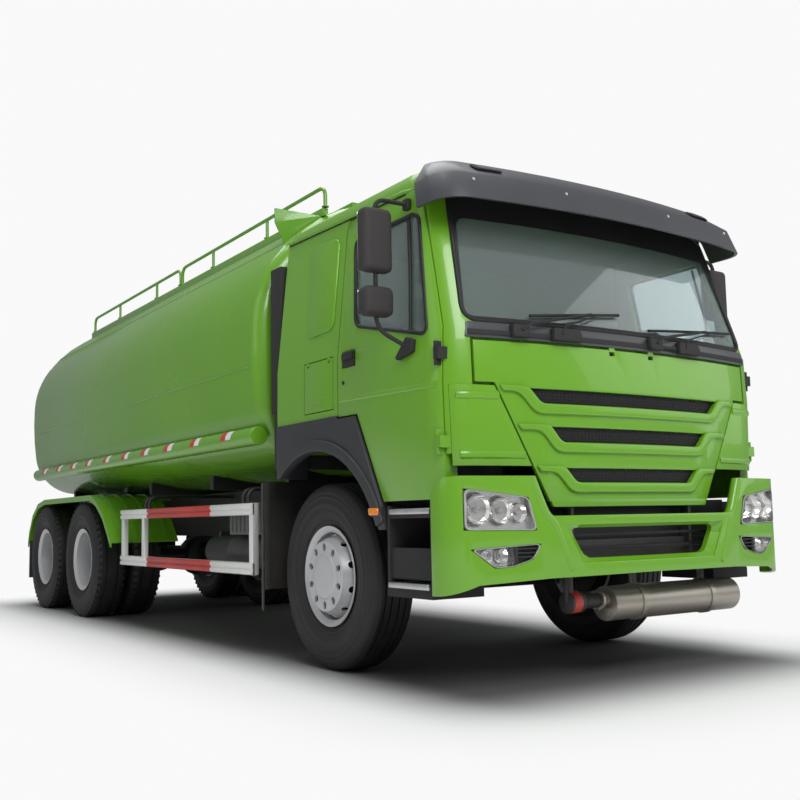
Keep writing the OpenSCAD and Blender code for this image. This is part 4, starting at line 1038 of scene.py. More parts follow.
    def seats(self) -> None:
        """Two seats with cushions and backrests."""
        for side in Side:
            x0, x1 = sorted((side.value * 0.47, side.value * 0.95))
            low, high = (x0 + 0.03, along(-0.42), 1.2205), (x1 - 0.05, along(0.04), 1.438)
            self.fit(Bench.block("seat_base_" + side.word, low, high, 0.012), INTERIOR, "cab", "seats")
            for word, low, high, lean in (
                ("cushion", (x0, along(-0.52), 1.442), (x1, along(0.06), 1.575), 0.0),
                ("backrest", (x0, along(0.1), 1.47), (x1, along(0.23), 2.17), -12.0),
            ):
                pad = Bench.block(f"{word}_{side.word}", low, high)
                self.soften(pad, lean, low, high)
                self.fit(pad, CLOTH, "cab")

    @staticmethod
    def soften(pad: Obj, lean: float, low: Point, high: Point) -> None:
        """Crowns a pad, rounds it and leans it back."""
        with Bench.editing(pad):
            bpy.ops.mesh.subdivide(number_cuts=5)
            if lean:
                centre = Vector((low[0] + high[0], low[1] + high[1], 2 * low[2])) / 2
                bpy.ops.transform.rotate(value=math.radians(-lean), orient_axis="X", center_override=centre)
        Bench.modify(pad, "BEVEL", width=0.03, segments=3, limit_method="ANGLE", angle_limit=math.radians(60))
        Bench.modify(pad, "SUBSURF", levels=1, render_levels=1)
        Bench.smooth(pad, 60)


@dataclass
class Door(Part):
    """One door: its panel, window, seal, handle and mirror."""

    side: Side
    window: tuple[Flat, ...] = ((-0.47, 1.99), (-1.105, 1.826), (-0.945, 2.428), (-0.4, 2.428))
    post: tuple[Flat, ...] = ((-0.9, 2.45), (-0.95, 2.16), (-0.99, 1.83))
    foot: tuple[Flat, ...] = ((-1.05, 1.775), (-0.99, 1.795), (-0.89, 1.7), (-0.9, 1.685), (-1.04, 1.71))
    mirror_x: float = 1.34
    mirror_y: float = -0.9
    margin: float = 0.04

    def build(self) -> None:
        """Builds the door's pieces."""
        word, body, e = self.side.word, "door_" + self.side.word, self.margin
        panel = self.dress(body, "door_panel_" + word, PAINT, body=body)
        self.accent(panel, BLACK_PLASTIC, Cab.proud)
        self.dress("door_glass_" + word, "door_window_" + word, GLASS, 0.0, body=body)
        corners = [(y + (e if y > -0.7 else -e), z + (e if z > 2.1 else -e)) for y, z in self.window]
        creases = [(-0.275 - i * 0.092, 1.546 - i * 0.002) for i in range(11)]
        for name, finish, places, out, pipe in (
            ("window_seal_", SEAL, round_outline(corners, 0.06, 6), -0.003, (0.011, 3, True)),
            ("window_post_", SEAL, self.post, -0.004, (0.009,)),
            ("door_crease_", PAINT, creases, -0.017, (0.023, 5)),
        ):
            line = [CAB.flank(self.side, y, z, out) for y, z in places]
            self.fit(Bench.pipe(name + word, line, *pipe), finish, body)
        self.handle(body)
        self.mirror(body)

    def handle(self, body: str) -> None:
        """The black pull handle in its bezel, and the lock."""
        parts = [
            Bench.plate("handle", beside(rect(*corners)), Axis.X, start, depth, bevel, radius)
            for corners, start, depth, bevel, radius in (
                ((-0.445, 1.725, -0.315, 1.815), -0.004, 0.008, 0.002, 0.014),
                ((-0.435, 1.765, -0.325, 1.805), 0.003, 0.014, 0.004, 0.01),
                ((-0.332, 1.63, -0.31, 1.652), -0.004, 0.007, 0.0, 0.01))]
        handle = Bench.join("door_handle_" + self.side.word, [drape_side(part, self.side) for part in parts])
        self.fit(handle, BLACK_PLASTIC, body)

    def mirror(self, body: str) -> None:
        """Two rounded mirror heads on a bent arm with its brackets."""
        x, y = self.mirror_x, along(self.mirror_y)
        shells, glasses = [], []
        for low_z, high_z, depth in ((2.135, 2.475, 0.045), (1.905, 2.06, 0.05)):
            shells.append(Bench.block("shell", (x - 0.09, y - depth, low_z), (x + 0.09, y + depth, high_z), 0.035, 5))
            low, high = (x - 0.078, y + depth - 0.001, low_z + 0.014), (x + 0.078, y + depth + 0.002, high_z - 0.014)
            glasses.append(Bench.block("glass", low, high, 0.001))
        arm = fillet([(1.125, along(-0.9), 2.53), (x, y, 2.53), (x, y, 1.84), (1.205, along(-0.98), 1.745)], 0.07)
        fittings = [
            Bench.pipe("arm", arm, 0.012),
            Bench.plate("foot", beside(self.foot), Axis.X, 1.192, 0.034, 0.008),
            Bench.block("head", (1.121, along(-0.925), 2.5), (1.15, along(-0.875), 2.56), 0.006),
        ]
        parts = {MIRROR_SHELL: shells, LOOKING_GLASS: glasses, BLACK_PLASTIC: fittings}
        word = self.side.word
        self.assemble("mirror_heads_" + word, parts, "mirror_shell", body, "mirror_" + word,
                      flip=self.side is Side.RIGHT)


@dataclass
class Face(Part):
    """The front flap with its sculpted bands, the mesh behind it and the wipers."""

    slots: tuple[tuple[float, float, float, float], ...] = (
        (0.73, 1.515, 0.65, 1.44), (0.598, 1.322, 0.525, 1.244), (0.508, 1.111, 0.434, 1.038))
    lip: float = 0.056
    shelf: float = 0.034
    stand: float = 0.018
    wipers_at: tuple[tuple[float, Flat, Flat], ...] = (
        (-0.77, (-0.68, 1.895), (-0.05, 1.955)), (0.17, (0.16, 1.885), (0.98, 1.955)))
    strip_top: float = 1.801

    def build(self) -> None:
        """Builds the flap's pieces."""
        self.dress("grille_flap", "front_flap", PAINT, 0.006, 3, body="grille_flap")
        for number, slot in enumerate(self.slots):
            self.fit(self.band(*slot), PAINT, "grille_flap", name=f"slot_lip_{number}")
        sill = Bench.plate("sill", trapezoid(0.583, 0.912, 0.598, 0.95), Axis.Y, -0.003, 0.022, 0.003, 0.012)
        self.fit(drape_front(sill, CAB), PAINT, "grille_flap", name="flap_sill")
        self.mesh()
        self.wipers()

    @staticmethod
    def edge(z: float) -> float:
        """Half width of the flap's flat part at a height below its slots' tops."""
        return 0.586 + (z - 0.94) * (0.918 - 0.6) / (1.537 - 0.94)

    @staticmethod
    def valley(half: Sequence[Flat], radius: float) -> list[Flat]:
        """A line from side to side with rounded corners, from one half's points, outermost first."""
        line = [(-x, 0.0, z) for x, z in half] + [(x, 0.0, z) for x, z in reversed(half)]
        return [(x, z) for x, _, z in fillet(line, radius, 4)]

    def band(self, top_x: float, top_z: float, low_x: float, low_z: float) -> Obj:
        """The raised lip under and beside a slot, which runs out to the flap's edges."""
        w, ear = self.lip, top_z + 0.012
        base = ear - self.shelf
        inner = self.valley([(self.edge(ear), ear), (top_x + 0.004, ear), (low_x, low_z)], 0.03)
        outer = self.valley([(self.edge(base), base), (top_x + w, base), (low_x + w * 0.6, low_z - w)], 0.045)
        band = Bench.plate("band", inner + outer[::-1], Axis.Y, -self.stand, self.stand + 0.006)
        return drape_front(Bench.bevel(band, 0.012, 4), CAB)

    def mesh(self) -> None:
        """A wire mesh in each slot, in front of the black backing."""
        parts = []
        for top_x, top_z, _, low_z in self.slots:
            Bench.clear()
            width, height = 2 * top_x + 0.02, top_z - low_z + 0.01
            bpy.ops.mesh.primitive_grid_add(
                x_subdivisions=int(width / 0.024), y_subdivisions=int(height / 0.016), size=1.0,
                location=(0, 0.017, (top_z + low_z) / 2), rotation=(math.pi / 2, 0, 0))
            bpy.context.object.scale = (width, height, 1.0)
            grid = Bench.modify(Bench.settle("mesh"), "WIREFRAME", thickness=0.0035)
            parts.append(bend_back(grid, CAB))
        self.fit(Bench.join("grille_wires", parts), BLACK_PLASTIC, "grille_flap")
        self.keep(SEAL, "grille_mesh")

    def wipers(self) -> None:
        """Two wipers: motor cases on the strip, arms and long blades near the glass."""
        parts = [self.trimmed(Bench.refined("wipers", "wiper_strip", 0.002))]
        for base, (x0, z0), (x1, z1) in self.wipers_at:
            for x, half, z in ((base, 0.055, 1.806), (base + 0.29, 0.1, 1.803)):
                form = [(x - half, z - 0.036), (x + half, z - 0.036), (x + half * 0.85, z + 0.034),
                        (x - half * 0.85, z + 0.034)]
                case = Bench.plate("case", form, Axis.Y, -0.042, 0.044, 0.01, 0.015)
                parts.append(drape_front(case, CAB, 0.05))
            blade = [(x0 + (x1 - x0) * i / 8, z0 + (z1 - z0) * i / 8) for i in range(9)]
            (x, z), joint = blade[5], blade[6]
            arm = ((base, 1.806, 0.04), (base + 0.06, 1.845, 0.05), (x, z, 0.034), (x, z + 0.001, 0.014))
            link = ((base + 0.25, 1.8, 0.04), (base + 0.28, 1.85, 0.046), (*joint, 0.03))
            edge = [(*p, 0.013) for p in blade]
            for name, line, radius in (("blade", edge, 0.008), ("arm", arm, 0.008), ("link", link, 0.005)):
                parts.append(Bench.pipe(name, [CAB.front(*place) for place in line], radius))
        self.fit(Bench.join("wiper_set", parts), BLACK_PLASTIC, "cab", "wipers")

    def trimmed(self, strip: Obj) -> Obj:
        """The strip without the plain arms above it."""
        with Bench.editing(strip):
            bpy.ops.mesh.bisect(plane_co=(0.0, 0.0, self.strip_top), plane_no=Axis.Z.vector(), clear_outer=True,
                                use_fill=True)
        return strip


@dataclass
class Lamp:
    """A lamp's outline on the bumper's right or left, in x and z, and its reflectors."""

    word: str
    outline: tuple[Flat, ...]
    bowls: tuple[tuple[float, float, float], ...]
    louvre_from: float = 0.0


@dataclass
class FrontEnd(Part):
    """The bumper with its lamps, its opening, the steps and the silencer."""

    lamps: tuple[Lamp, ...] = (
        Lamp("head", ((1.172, 1.006), (1.172, 0.806), (0.772, 0.798), (0.818, 0.962)),
             ((1.09, 0.905, 0.072), (0.965, 0.897, 0.062), (0.865, 0.885, 0.045))),
        Lamp("fog", ((1.145, 0.716), (0.75, 0.734), (0.8, 0.66), (0.91, 0.63), (1.015, 0.622)),
             ((1.055, 0.674, 0.036), (0.965, 0.68, 0.034)), 0.9),
    )
    dish: tuple[Flat, ...] = (
        (0.048, 0.45), (0.038, 0.75), (0.02, 0.94), (0.014, 1.0), (0.02, 1.04), (0.044, 0.82), (0.055, 0.45))
    bulb: tuple[Flat, ...] = ((0.018, 0.0), (0.02, 0.16), (0.028, 0.22), (0.055, 0.22), (0.055, 0.0))

    def build(self) -> None:
        """Builds the front end's pieces."""
        self.dress("bumper", "bumper_shell", PAINT, 0.008, 3)
        for side in Side:
            for lamp in self.lamps:
                self.lamp(side, lamp)
        self.tail_lamps()
        self.opening()
        self.steps()
        self.silencer()

    @staticmethod
    def curved(name: str, outline: Sequence[Flat], start: float, depth: float, bevel: float = 0.0,
               hole: Sequence[Flat] = (), hole_depth: float = 0.0) -> Obj:
        """A plate with or without a hole, bent onto the bumper's front."""
        plate = Bench.plate(name, outline, Axis.Y, start, depth, bevel)
        if hole:
            Bench.cut(plate, Bench.plate("hole", hole, Axis.Y, -0.01, hole_depth))
        return drape_front(plate, BUMPER, 0.05)

    def lamp(self, side: Side, lamp: Lamp) -> None:
        """Housing, reflectors and clear lens of one front lamp."""
        s, edge = side.value, lamp.louvre_from
        outline = lens_form = self.inset(lamp.outline, s, 0.985, 0.03)
        hollow, hole = (self.inset(lamp.outline, s, factor, 0.026) for factor in (0.94, 0.935))
        cases = [self.curved("housing", outline, 0.01, 0.045, hole=hollow, hole_depth=0.05)]
        rim = self.curved("rim", outline, -0.004, 0.014, hole=hole, hole_depth=0.03)
        parts = {LAMP_CASE: cases, TREAD_PLATE: [rim], CHROME: []}
        for x, z, radius in lamp.bowls:
            place = (s * x, along(BUMPER.y(x)), z)
            dish = [(0.05, 0.008), *((depth, radius * share) for depth, share in self.dish), (0.056, 0.008)]
            parts[CHROME].append(Bench.lathe("dish", dish, 32, axis=Axis.Y, centre=place))
            bulb = [(depth, radius * share) for depth, share in self.bulb]
            cases.append(Bench.lathe("bulb", bulb, 16, False, Axis.Y, place))
        if edge:
            lens_form = self.placed(s, (1.132, 0.712), (edge, 0.722), (edge, 0.636), (1.012, 0.629), radius=0.03)
            shade = self.placed(s, (edge, 0.726), (0.765, 0.73), (0.81, 0.662), (edge, 0.632))
            parts[SEAL] = [self.curved("shade", shade, 0.02, 0.02)]
            near, far = edge - 0.012, edge + 0.008
            post = self.placed(s, (near, 0.724), (far, 0.724), (far, 0.634), (near, 0.636), radius=0.004)
            parts[BLACK_PLASTIC] = [self.curved("post", post, -0.002, 0.03, 0.003)]
            for z, inner_x in ((0.712, 0.775), (0.692, 0.79), (0.672, 0.805)):
                low, high = sorted((s * inner_x, s * edge))
                slat = Bench.block("slat", (low, -0.001, z - 0.004), (high, 0.03, z + 0.004), 0.002)
                parts[BLACK_PLASTIC].append(drape_front(slat, BUMPER, 0.05))
        self.assemble(f"{lamp.word}_lamp_{side.word}", parts, "lens", "chassis", "lamps")
        lens = self.curved("lens", lens_form, 0.0, 0.005, 0.001)
        self.fit(lens, LENS, "chassis", name=f"{lamp.word}_lens_{side.word}")

    @staticmethod
    def placed(sign: int, *points: Flat, radius: float = 0.0) -> list[Flat]:
        """An outline on one side of the truck, with its corners rounded where a radius is given."""
        outline = [(sign * x, z) for x, z in points]
        return round_outline(outline, radius) if radius else outline

    @staticmethod
    def inset(points: Sequence[Flat], sign: int, factor: float, radius: float) -> list[Flat]:
        """An outline shrunk about its middle, with rounded corners, on one side of the truck."""
        cx, cz = (sum(values) / len(points) for values in zip(*points))
        return round_outline([(sign * (cx + (x - cx) * factor), cz + (z - cz) * factor) for x, z in points], radius)

    def tail_lamps(self) -> None:
        """Tail lamps on the rear bar: red, amber and white lenses on a black housing."""
        for side in Side:
            parts = {BLACK_PLASTIC: [Bench.block("case", (0.76, 4.0195, 0.4805), (1.12, 4.04, 0.58), 0.006)]}
            for x0, x1, finish in ((0.77, 0.87, WHITE_TAPE), (0.88, 0.99, AMBER), (1.0, 1.11, RED_LENS)):
                parts[finish] = [Bench.block("lens", (x0, 4.038, 0.492), (x1, 4.053, 0.568), 0.006)]
            self.assemble("tail_lamp_" + side.word, parts, "lens", "chassis", flip=side is Side.RIGHT)

    def opening(self) -> None:
        """The opening's sloping rounded frame, the bumper's folds, dark bars behind them, and a black sheet of painted
        shade behind the flap's foot.
        """
        inner = round_outline(trapezoid(0.548, 0.806, 0.455, 0.652), 0.045)
        frame = Bench.plate("frame", trapezoid(0.61, 0.83, 0.508, 0.624), Axis.Y, 0.003, 0.03)
        Bench.cut(frame, Bench.plate("hole", inner, Axis.Y, -0.01, 0.06))
        for vertex in frame.data.vertices:
            if any(math.hypot(vertex.co.x - x, vertex.co.z - z) < 0.002 for x, z in inner):
                vertex.co.y += 0.035
        Bench.slices(frame, Axis.Z, [0.67, 0.7, 0.73, 0.76])
        self.fit(drape_front(frame, BUMPER), PAINT, "chassis", name="opening_frame")
        line = fillet([(0.79, 0, 1.055), (0.71, 0, 0.868), (0.66, 0, 0.835), (0.565, 0, 0.6)], 0.05)
        folds = [
            Bench.pipe("fold", [(side.value * x, along(BUMPER.y(x)) + 0.024, z) for x, _, z in line], 0.03, 5)
            for side in Side]
        self.fit(Bench.join("bumper_folds", folds), PAINT, "chassis")
        bars = [
            Bench.block("bar", (-0.58, along(-1.36), z), (0.58, along(-1.35), z + 0.016), 0.004) for z in (0.69, 0.76)]
        self.fit(Bench.join("opening_bars", bars), SEAL, "chassis")
        # A black sheet behind the flap's foot and the bumper's top: painted shade in the gap where the bright
        # background would show through.
        shade = Bench.block("front_shade", (-0.84, along(-1.275), 0.66), (0.84, along(-1.265), 0.945), 0.004)
        self.fit(shade, SEAL, "chassis")

    def steps(self) -> None:
        """Black steps with bright tread edges."""
        self.dress("steps", "step_boxes", BLACK_PLASTIC, 0.006)
        treads, faces = [], []

        def box(name: str, xs: Sequence[float], ys: Flat, zs: Flat, bevel: float, segments: int = 2) -> Obj:
            """A box from ranges of x, y from the front axle and z."""
            return Bench.block(name, (xs[0], along(ys[0]), zs[0]), (xs[1], along(ys[1]), zs[1]), bevel, segments)

        for side in Side:
            for z, x1 in ((0.905, 1.19), (0.53, 1.2)):
                x = sorted((side.value * (x1 - 0.2), side.value * (x1 + 0.002)))
                treads.append(box("tread", x, (-1.13, -0.77), (z, z + 0.008), 0.003))
                edge = sorted((side.value * (x1 - 0.01), side.value * (x1 + 0.012)))
                treads.append(box("nosing", edge, (-1.13, -0.77), (z - 0.016, z + 0.014), 0.006, 3))
                for i in range(7):
                    ys = (-1.1 + i * 0.05, -1.085 + i * 0.05)
                    treads.append(box("ridge", (x[0] + 0.01, x[1] - 0.02), ys, (z + 0.006, z + 0.014), 0.003))
            xs = sorted((side.value * 1.165, side.value * 1.185))
            faces.append(box("step_face", xs, (-1.145, -0.76), (0.56, 0.72), 0.008, 3))
        self.fit(Bench.join("step_treads", treads), TREAD_PLATE, "chassis")
        self.fit(Bench.join("step_faces", faces), BLACK_PLASTIC, "chassis")

    def silencer(self) -> None:
        """The silencer's steel drum with bands and a red valve."""
        drum = self.dress("silencer", "silencer_drum", SATIN_STEEL, 0.008, 3)
        self.accent(drum, CHASSIS, lambda centre, _: centre.x < -0.2 or centre.z > 0.5)
        valve = Bench.drum("silencer_valve", Axis.X, (-0.405, along(-1.25), 0.415), 0.06, 0.057, 24, 0.006)
        self.fit(valve, GUARD_RED, "chassis")


@dataclass
class Stowage(Part):
    """Battery box, air tanks, fuel tank, fenders, mudguards and the air intake."""

    edge_radius: float = 0.009

    def build(self) -> None:
        """Builds the pieces between the axles and over the rear wheels."""
        self.dress("battery_box", "battery_cover", BOX_PLASTIC)
        self.dress("air_tanks", "air_drums", IRON, 0.02, 4)
        self.dress("fuel_tank", "fuel_drum", TREAD_PLATE, 0.012, 3)
        self.dress("rear_fenders", "fender_sheets", TANK_PAINT, 0.0)
        self.dress("mudguards", "mud_flaps", FLAP_RUBBER, 0.003)
        low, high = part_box("mudguards")
        y, r = low.y + 0.012, self.edge_radius
        edges = [
            Bench.pipe("edge", [(x, y, high.z - 0.01), (x, y, low.z + 0.01)], r) for x in (low.x + r, high.x - r)]
        self.fit(Bench.join("mudguard_edges", edges), IRON, "chassis")
        self.dress("air_intake", "intake_tower", BLACK_PLASTIC, 0.012, 3)


@dataclass
class Wheels(Part):
    """Tyres and rims: one of each kind is modelled at the wheel's middle and copied to its places."""

    radius: float = 0.5425
    front_x: float = 1.005
    twin_xs: Flat = (0.76, 1.1)
    twin_middle: float = 0.93
    bogie: Flat = (4.6, 5.95)
    hole_ring: float = 0.1675
    sidewall: tuple[Flat, ...] = (
        (0.0925, 0.267), (0.104, 0.283), (0.1075, 0.308), (0.1135, 0.319), (0.1175, 0.321), (0.1185, 0.326),
        (0.117, 0.33), (0.124, 0.344), (0.1365, 0.374), (0.1395, 0.376), (0.1405, 0.381), (0.1395, 0.385),
        (0.1435, 0.402), (0.1455, 0.416), (0.1465, 0.419), (0.1465, 0.427), (0.145, 0.43), (0.1425, 0.456),
        (0.1445, 0.459), (0.1445, 0.465), (0.1425, 0.468), (0.139, 0.484), (0.1405, 0.488), (0.1385, 0.494),
        (0.133, 0.506), (0.125, 0.521), (0.113, 0.533), (0.099, 0.5385))
    lip: tuple[Flat, ...] = (
        (0.1205, 0.2915), (0.1165, 0.294), (0.1115, 0.291), (0.1085, 0.272), (0.1025, 0.2655), (0.0945, 0.2655),
        (0.088, 0.258))
    well: tuple[Flat, ...] = ((-0.1155, 0.276), (-0.1, 0.2555), (0.1, 0.2555), (0.1155, 0.276))

    def build(self) -> None:
        """Builds the wheels."""
        road = self.tyre("road_tyre", (0.066, 0.024), 0.008, 0.011)
        lug = self.lugs(self.tyre("lug_tyre", (0.05,), 0.011, 0.012))
        front, rear = self.front_rim(), self.rear_rim()
        for side in Side:
            mirrored, word = side is Side.RIGHT, side.word
            place = (side.value * self.front_x, along(0.0), AXLE_Z)
            tyre = Bench.copy(road, "road_tyre_" + word, place, mirrored)
            rim = Bench.copy(front, "road_rim_" + word, place, mirrored)
            self.mount(tyre, rim, "front_", "wheel_", word)
            for number, y in enumerate(self.bogie, 1):
                tag = f"{word}_{number}"
                pair = [Bench.copy(lug, "lug", (side.value * x, along(y), AXLE_Z), mirrored) for x in self.twin_xs]
                place = (side.value * self.twin_middle, along(y), AXLE_Z)
                rims = Bench.copy(rear, "deep_rims_" + tag, place, mirrored)
                self.mount(Bench.join("lug_tyres_" + tag, pair), rims, "twin_", "wheel_", tag, "s")
        for pattern in (road, lug, front, rear):
            bpy.data.objects.remove(pattern)

    def mount(self, tyre: Obj, rim: Obj, kind: str, body: str, tag: str, plural: str = "") -> None:
        """Mounts a tyre and its rim, whose parts have their finishes."""
        body = kind + body + tag
        self.fit(tyre, RUBBER, body, f"{kind}tyre{plural}_{tag}")
        self.fit(rim, None, body, f"{kind}rim{plural}_{tag}", slot=RIM.slot)

    def tyre(self, name: str, grooves: Sequence[float], width: float, depth: float) -> Obj:
        """A tyre at the origin with grooves round it."""
        top = self.radius - 0.0005
        half = [*self.sidewall, (0.094, top)]
        for g in grooves:
            low = top - depth
            half += [(g + width, top), (g + width * 0.7, low), (g - width * 0.7 + 0.004, low), (g - width + 0.004, top)]
        return Bench.lathe(name, half + [(-a, r) for a, r in reversed(half)], 96)

    def lugs(self, tyre: Obj) -> Obj:
        """Adds lugs on both shoulders of a tyre."""
        top = self.radius - 0.001
        block = [(-0.013, 0.517), (0.009, 0.517), (0.013, top), (-0.009, top)]
        left = Bench.plate("lug", block, Axis.X, 0.088, 0.038)
        right = Bench.plate("lug", [(-y, z) for y, z in block], Axis.X, -0.088, -0.038)
        return Bench.join(tyre.name, [tyre, Bench.ring(Bench.join("lugs", [left, right]), 50)])

    def barrel(self, at: float) -> Obj:
        """The rim's well and its two lips, between the tyre's beads."""
        profile = [*self.lip, *((-a, r) for a, r in reversed(self.lip)), *self.well]
        return Bench.lathe("barrel", [(a + at, r) for a, r in profile])

    def front_rim(self) -> Obj:
        """The front rim: a flat face with ten oval holes, a hub cap and a pierced cone."""
        face, pitch = 0.15, self.hole_ring
        behind = [(0.03, 0.252), (0.026, 0.2555), (0.046, 0.2555)]
        ahead = [(-0.012, 0.208), (-0.004, 0.206), (0, 0.2), (0, 0.134), (0.004, 0.13), (0.007, 0.124), (0.008, 0.0)]
        profile = [(face - 0.02, 0.0), (face - 0.02, 0.19), *behind, *((face + a, r) for a, r in ahead)]
        disc = Bench.lathe("disc", profile, 80, False)
        oval = Bench.drum("oval", Axis.X, (face - 0.05, 0, pitch), 0.07, 0.019, 20)
        for vertex in oval.data.vertices:
            vertex.co.z = pitch + (vertex.co.z - pitch) * 1.3
        Bench.cut(disc, Bench.ring(oval, 10))
        Bench.cut(disc, Bench.ring(Bench.drum("hand_hole", Axis.Z, (0.09, 0, 0.15), 0.15, 0.022, 20), 10))
        Bench.smooth(disc, 28)
        dome = ((0.0075, 0.118), (0.0085, 0.112), (0.008, 0.06), (0.0075, 0.0))
        cap = Bench.lathe("cap", [(face + a, r) for a, r in dome], 48, False)
        drum = [(-0.13, 0.0), (-0.13, 0.2), (0.0, 0.2), (0.01, 0.19), (0.1, 0.09), (0.1, 0.0)]
        back = Bench.lathe("drum", drum, 48, False)
        bright = [self.paint(part, RIM) for part in (disc, cap, self.barrel(0.0))]
        return Bench.join("front_rim", [*bright, self.paint(back, SEAL)])

    def rear_rim(self) -> Obj:
        """The twin rims: two barrels, a deep dish with hand holes, nuts and the axle's hub."""
        offset = 0.17
        dish = [(0.032, 0.09), (0.034, 0.2), (offset - 0.076, 0.2525), (offset - 0.06, 0.2555),
                (offset - 0.05, 0.2555), (0.022, 0.19), (0.018, 0.09)]
        disc = Bench.lathe("dish", dish, 80)
        Bench.cut(disc, Bench.ring(Bench.drum("hole", Axis.X, (-0.05, 0, 0.219), 0.2, 0.02, 20), 10))
        Bench.smooth(disc, 28)
        stem = [(-0.16, 0.2), (-0.07, 0.2), (0.0, 0.15), (0.04, 0.13), (0.046, 0.115), (0.13, 0.108), (0.142, 0.1),
                (0.146, 0.06), (0.15, 0.0)]
        hub = Bench.lathe("hub", stem, 56, False)
        bolts = Bench.ring(Bench.drum("bolt", Axis.X, (0.14, 0, 0.082), 0.01, 0.008, 6), 8)
        nut = Bench.drum("nut", Axis.X, (0.033, 0, self.hole_ring), 0.026, 0.017, 6, 0.002)
        stud = Bench.drum("stud", Axis.X, (0.053, 0, self.hole_ring), 0.016, 0.009, 10)
        nuts = Bench.ring(Bench.join("nuts", [nut, stud]), 10)
        bright = [self.paint(part, RIM) for part in (disc, nuts, self.barrel(offset), self.barrel(-offset))]
        return Bench.join("rear_rim", bright + [self.paint(part, IRON) for part in (hub, bolts)])


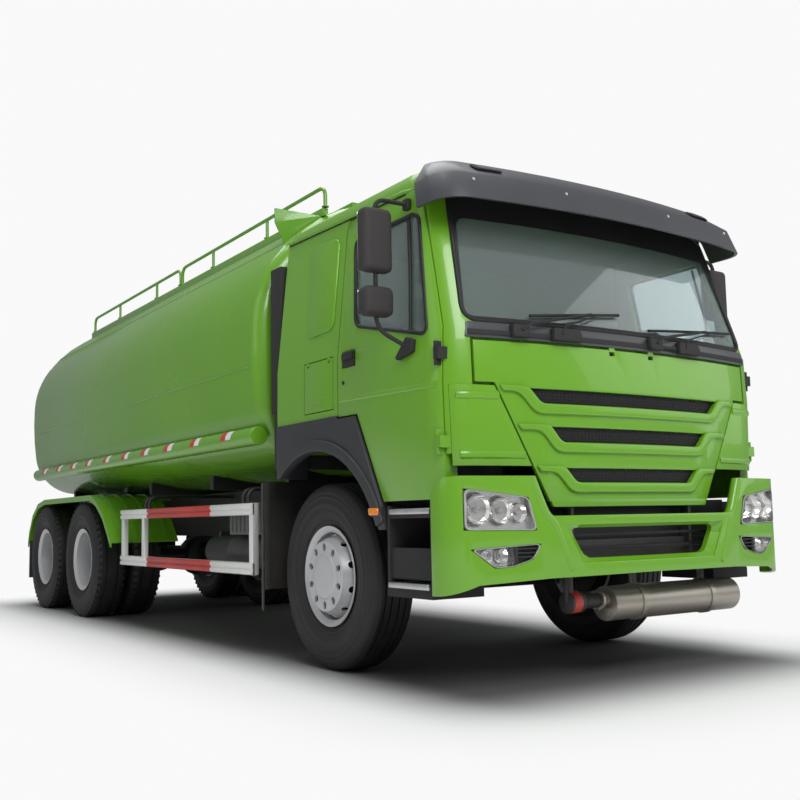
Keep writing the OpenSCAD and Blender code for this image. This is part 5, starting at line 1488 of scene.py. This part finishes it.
@dataclass
class Studio:
    """Floor, light and the photograph's camera."""

    place: Point = (-4.0694, -7.7309, 0.8654)
    yaw: float = 33.96
    pitch: float = 5.99
    roll: float = -1.13
    lens: float = 45.01
    shift: Flat = (-0.0019, 0.0179)
    floor_half: float = 60.0
    white: float = 0.95
    # The floor's colour is painted dark grey inside the first box: a painted shadow under the truck.
    shaded: tuple[Flat, Flat] = ((0.95, 1.7), (3.7, 4.7))
    paling: tuple[Flat, Flat] = ((1.35, 2.5), (4.0, 5.6))
    # Grey of the painted shadow under the truck.
    dark: float = 0.1
    pale: float = 0.9
    lamps: tuple[tuple[str, Point, Point, float, float], ...] = (
        ("key", (-3.0, -12.0, 9.0), (0.0, -1.5, 1.4), 6.0, 900.0),
        ("side", (-10.0, -2.0, 6.0), (0.0, 0.5, 1.6), 6.0, 90.0),
        ("fill", (8.0, -9.0, 5.0), (0.0, -2.0, 1.4), 7.0, 180.0),
        ("top", (0.0, 1.0, 11.0), (0.0, 0.5, 1.5), 8.0, 640.0))

    def build(self) -> None:
        """Builds the studio."""
        self.camera()
        self.floor()
        self.world()
        for lamp in self.lamps:
            self.lamp(*lamp)

    def camera(self) -> None:
        """Places the camera at the photograph's view."""
        data = bpy.data.cameras.new("view")
        camera = bpy.data.objects.new("view", data)
        bpy.context.scene.collection.objects.link(camera)
        y, p, r = (math.radians(a) for a in (self.yaw, self.pitch, self.roll))
        forward = Vector((math.sin(y) * math.cos(p), math.cos(y) * math.cos(p), math.sin(p)))
        right = Vector((math.cos(y), -math.sin(y), 0.0))
        up = right.cross(forward)
        right, up = right * math.cos(r) + up * math.sin(r), up * math.cos(r) - right * math.sin(r)
        camera.matrix_world = Matrix((right, up, -forward)).transposed().to_4x4()
        camera.location = self.place
        data.sensor_width = 36.0
        data.lens = self.lens
        data.shift_x, data.shift_y = self.shift
        data.clip_end = 300.0
        bpy.context.scene.camera = camera
        bpy.context.scene.view_settings.view_transform = "Standard"

    def floor(self) -> None:
        """A wide pale floor, with a painted shadow under the truck."""
        Bench.clear()
        bpy.ops.mesh.primitive_grid_add(x_subdivisions=4, y_subdivisions=4, size=2 * self.floor_half, location=ORIGIN)
        floor = Bench.settle("studio_floor")
        floor.data.materials.append(self.floor_material())

    def floor_material(self) -> bpy.types.Material:
        """Pale paint round the truck with a dark painted shadow under it; farther out it fades into the background's
        white.
        """
        mat = bpy.data.materials.new("floor_paint")
        graph = Graph(mat)
        place = graph.add("SeparateXYZ", {"Vector": graph.add("TexCoord").outputs["Object"]})
        # Dark grey under the truck, pale outside: a painted shadow in the floor's colour.
        ground = graph.mix(self.outside(graph, place, self.shaded), grey(self.dark), grey(self.pale))
        paint = graph.fill(graph.nodes["Principled BSDF"], {"Roughness": 0.8, "Base Color": ground})
        seen = graph.add("LightPath").outputs["Is Camera Ray"]
        share = graph.math("MULTIPLY", self.outside(graph, place, self.paling), seen)
        white = graph.add("Emission", {"Color": grey(self.white)})
        graph.surface(share, paint.outputs["BSDF"], white.outputs["Emission"], "Material Output")
        return mat

    @staticmethod
    def outside(graph: Graph, place: bpy.types.Node, spans: tuple[Flat, Flat]) -> Socket:
        """How far a place lies outside a soft-edged box: each span is where the edge starts and ends."""
        edges = []
        for word, (start, end) in zip("XY", spans):
            fade = {"Value": graph.math("ABSOLUTE", place.outputs[word]), "From Min": start, "From Max": end,
                    "To Min": 1.0, "To Max": 0.0}
            edges.append(graph.add("MapRange", fade, interpolation_type="SMOOTHSTEP").outputs["Result"])
        return graph.math("SUBTRACT", 1.0, graph.math("MULTIPLY", *edges))

    def world(self) -> None:
        """Soft pale light all round; the camera and glass see near white."""
        world = bpy.data.worlds.new("studio")
        bpy.context.scene.world = world
        graph = Graph(world)
        seen = graph.add("Background", {"Color": grey(self.white)})
        light = graph.fill(graph.nodes["Background"], {"Color": (0.95, 0.98, 1.0, 1.0), "Strength": 0.28})
        path = graph.add("LightPath").outputs
        share = graph.math("MAXIMUM", path["Is Camera Ray"], path["Is Transmission Ray"])
        graph.surface(share, light.outputs["Background"], seen.outputs["Background"], "World Output")

    @staticmethod
    def lamp(name: str, place: Point, aim: Point, size: float, power: float) -> None:
        """A soft square lamp that faces a point."""
        data = bpy.data.lights.new(name, "AREA")
        data.size = size
        data.energy = power
        lamp = bpy.data.objects.new(name, data)
        bpy.context.scene.collection.objects.link(lamp)
        lamp.location = place
        lamp.rotation_euler = (Vector(aim) - Vector(place)).to_track_quat("-Z", "Y").to_euler()


def corners(bounds: tuple) -> list[list[float]]:
    """Two corners as plain lists."""
    return [[float(v) for v in corner] for corner in bounds]


def main() -> None:
    """Builds every sub-assembly in order."""
    logging.basicConfig(level=logging.INFO, format="%(name)s: %(message)s")
    Frame.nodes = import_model()["nodes"]
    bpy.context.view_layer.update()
    Bench.clear()
    doors = [Door(side) for side in Side]
    for part in (Studio(), Chassis(), Tank(), SideGuard(), Cab(), *doors, Face(), FrontEnd(), Stowage(), Wheels()):
        part.build()
        log.info("%s built", type(part).__name__)


if __name__ == "__main__":
    main()
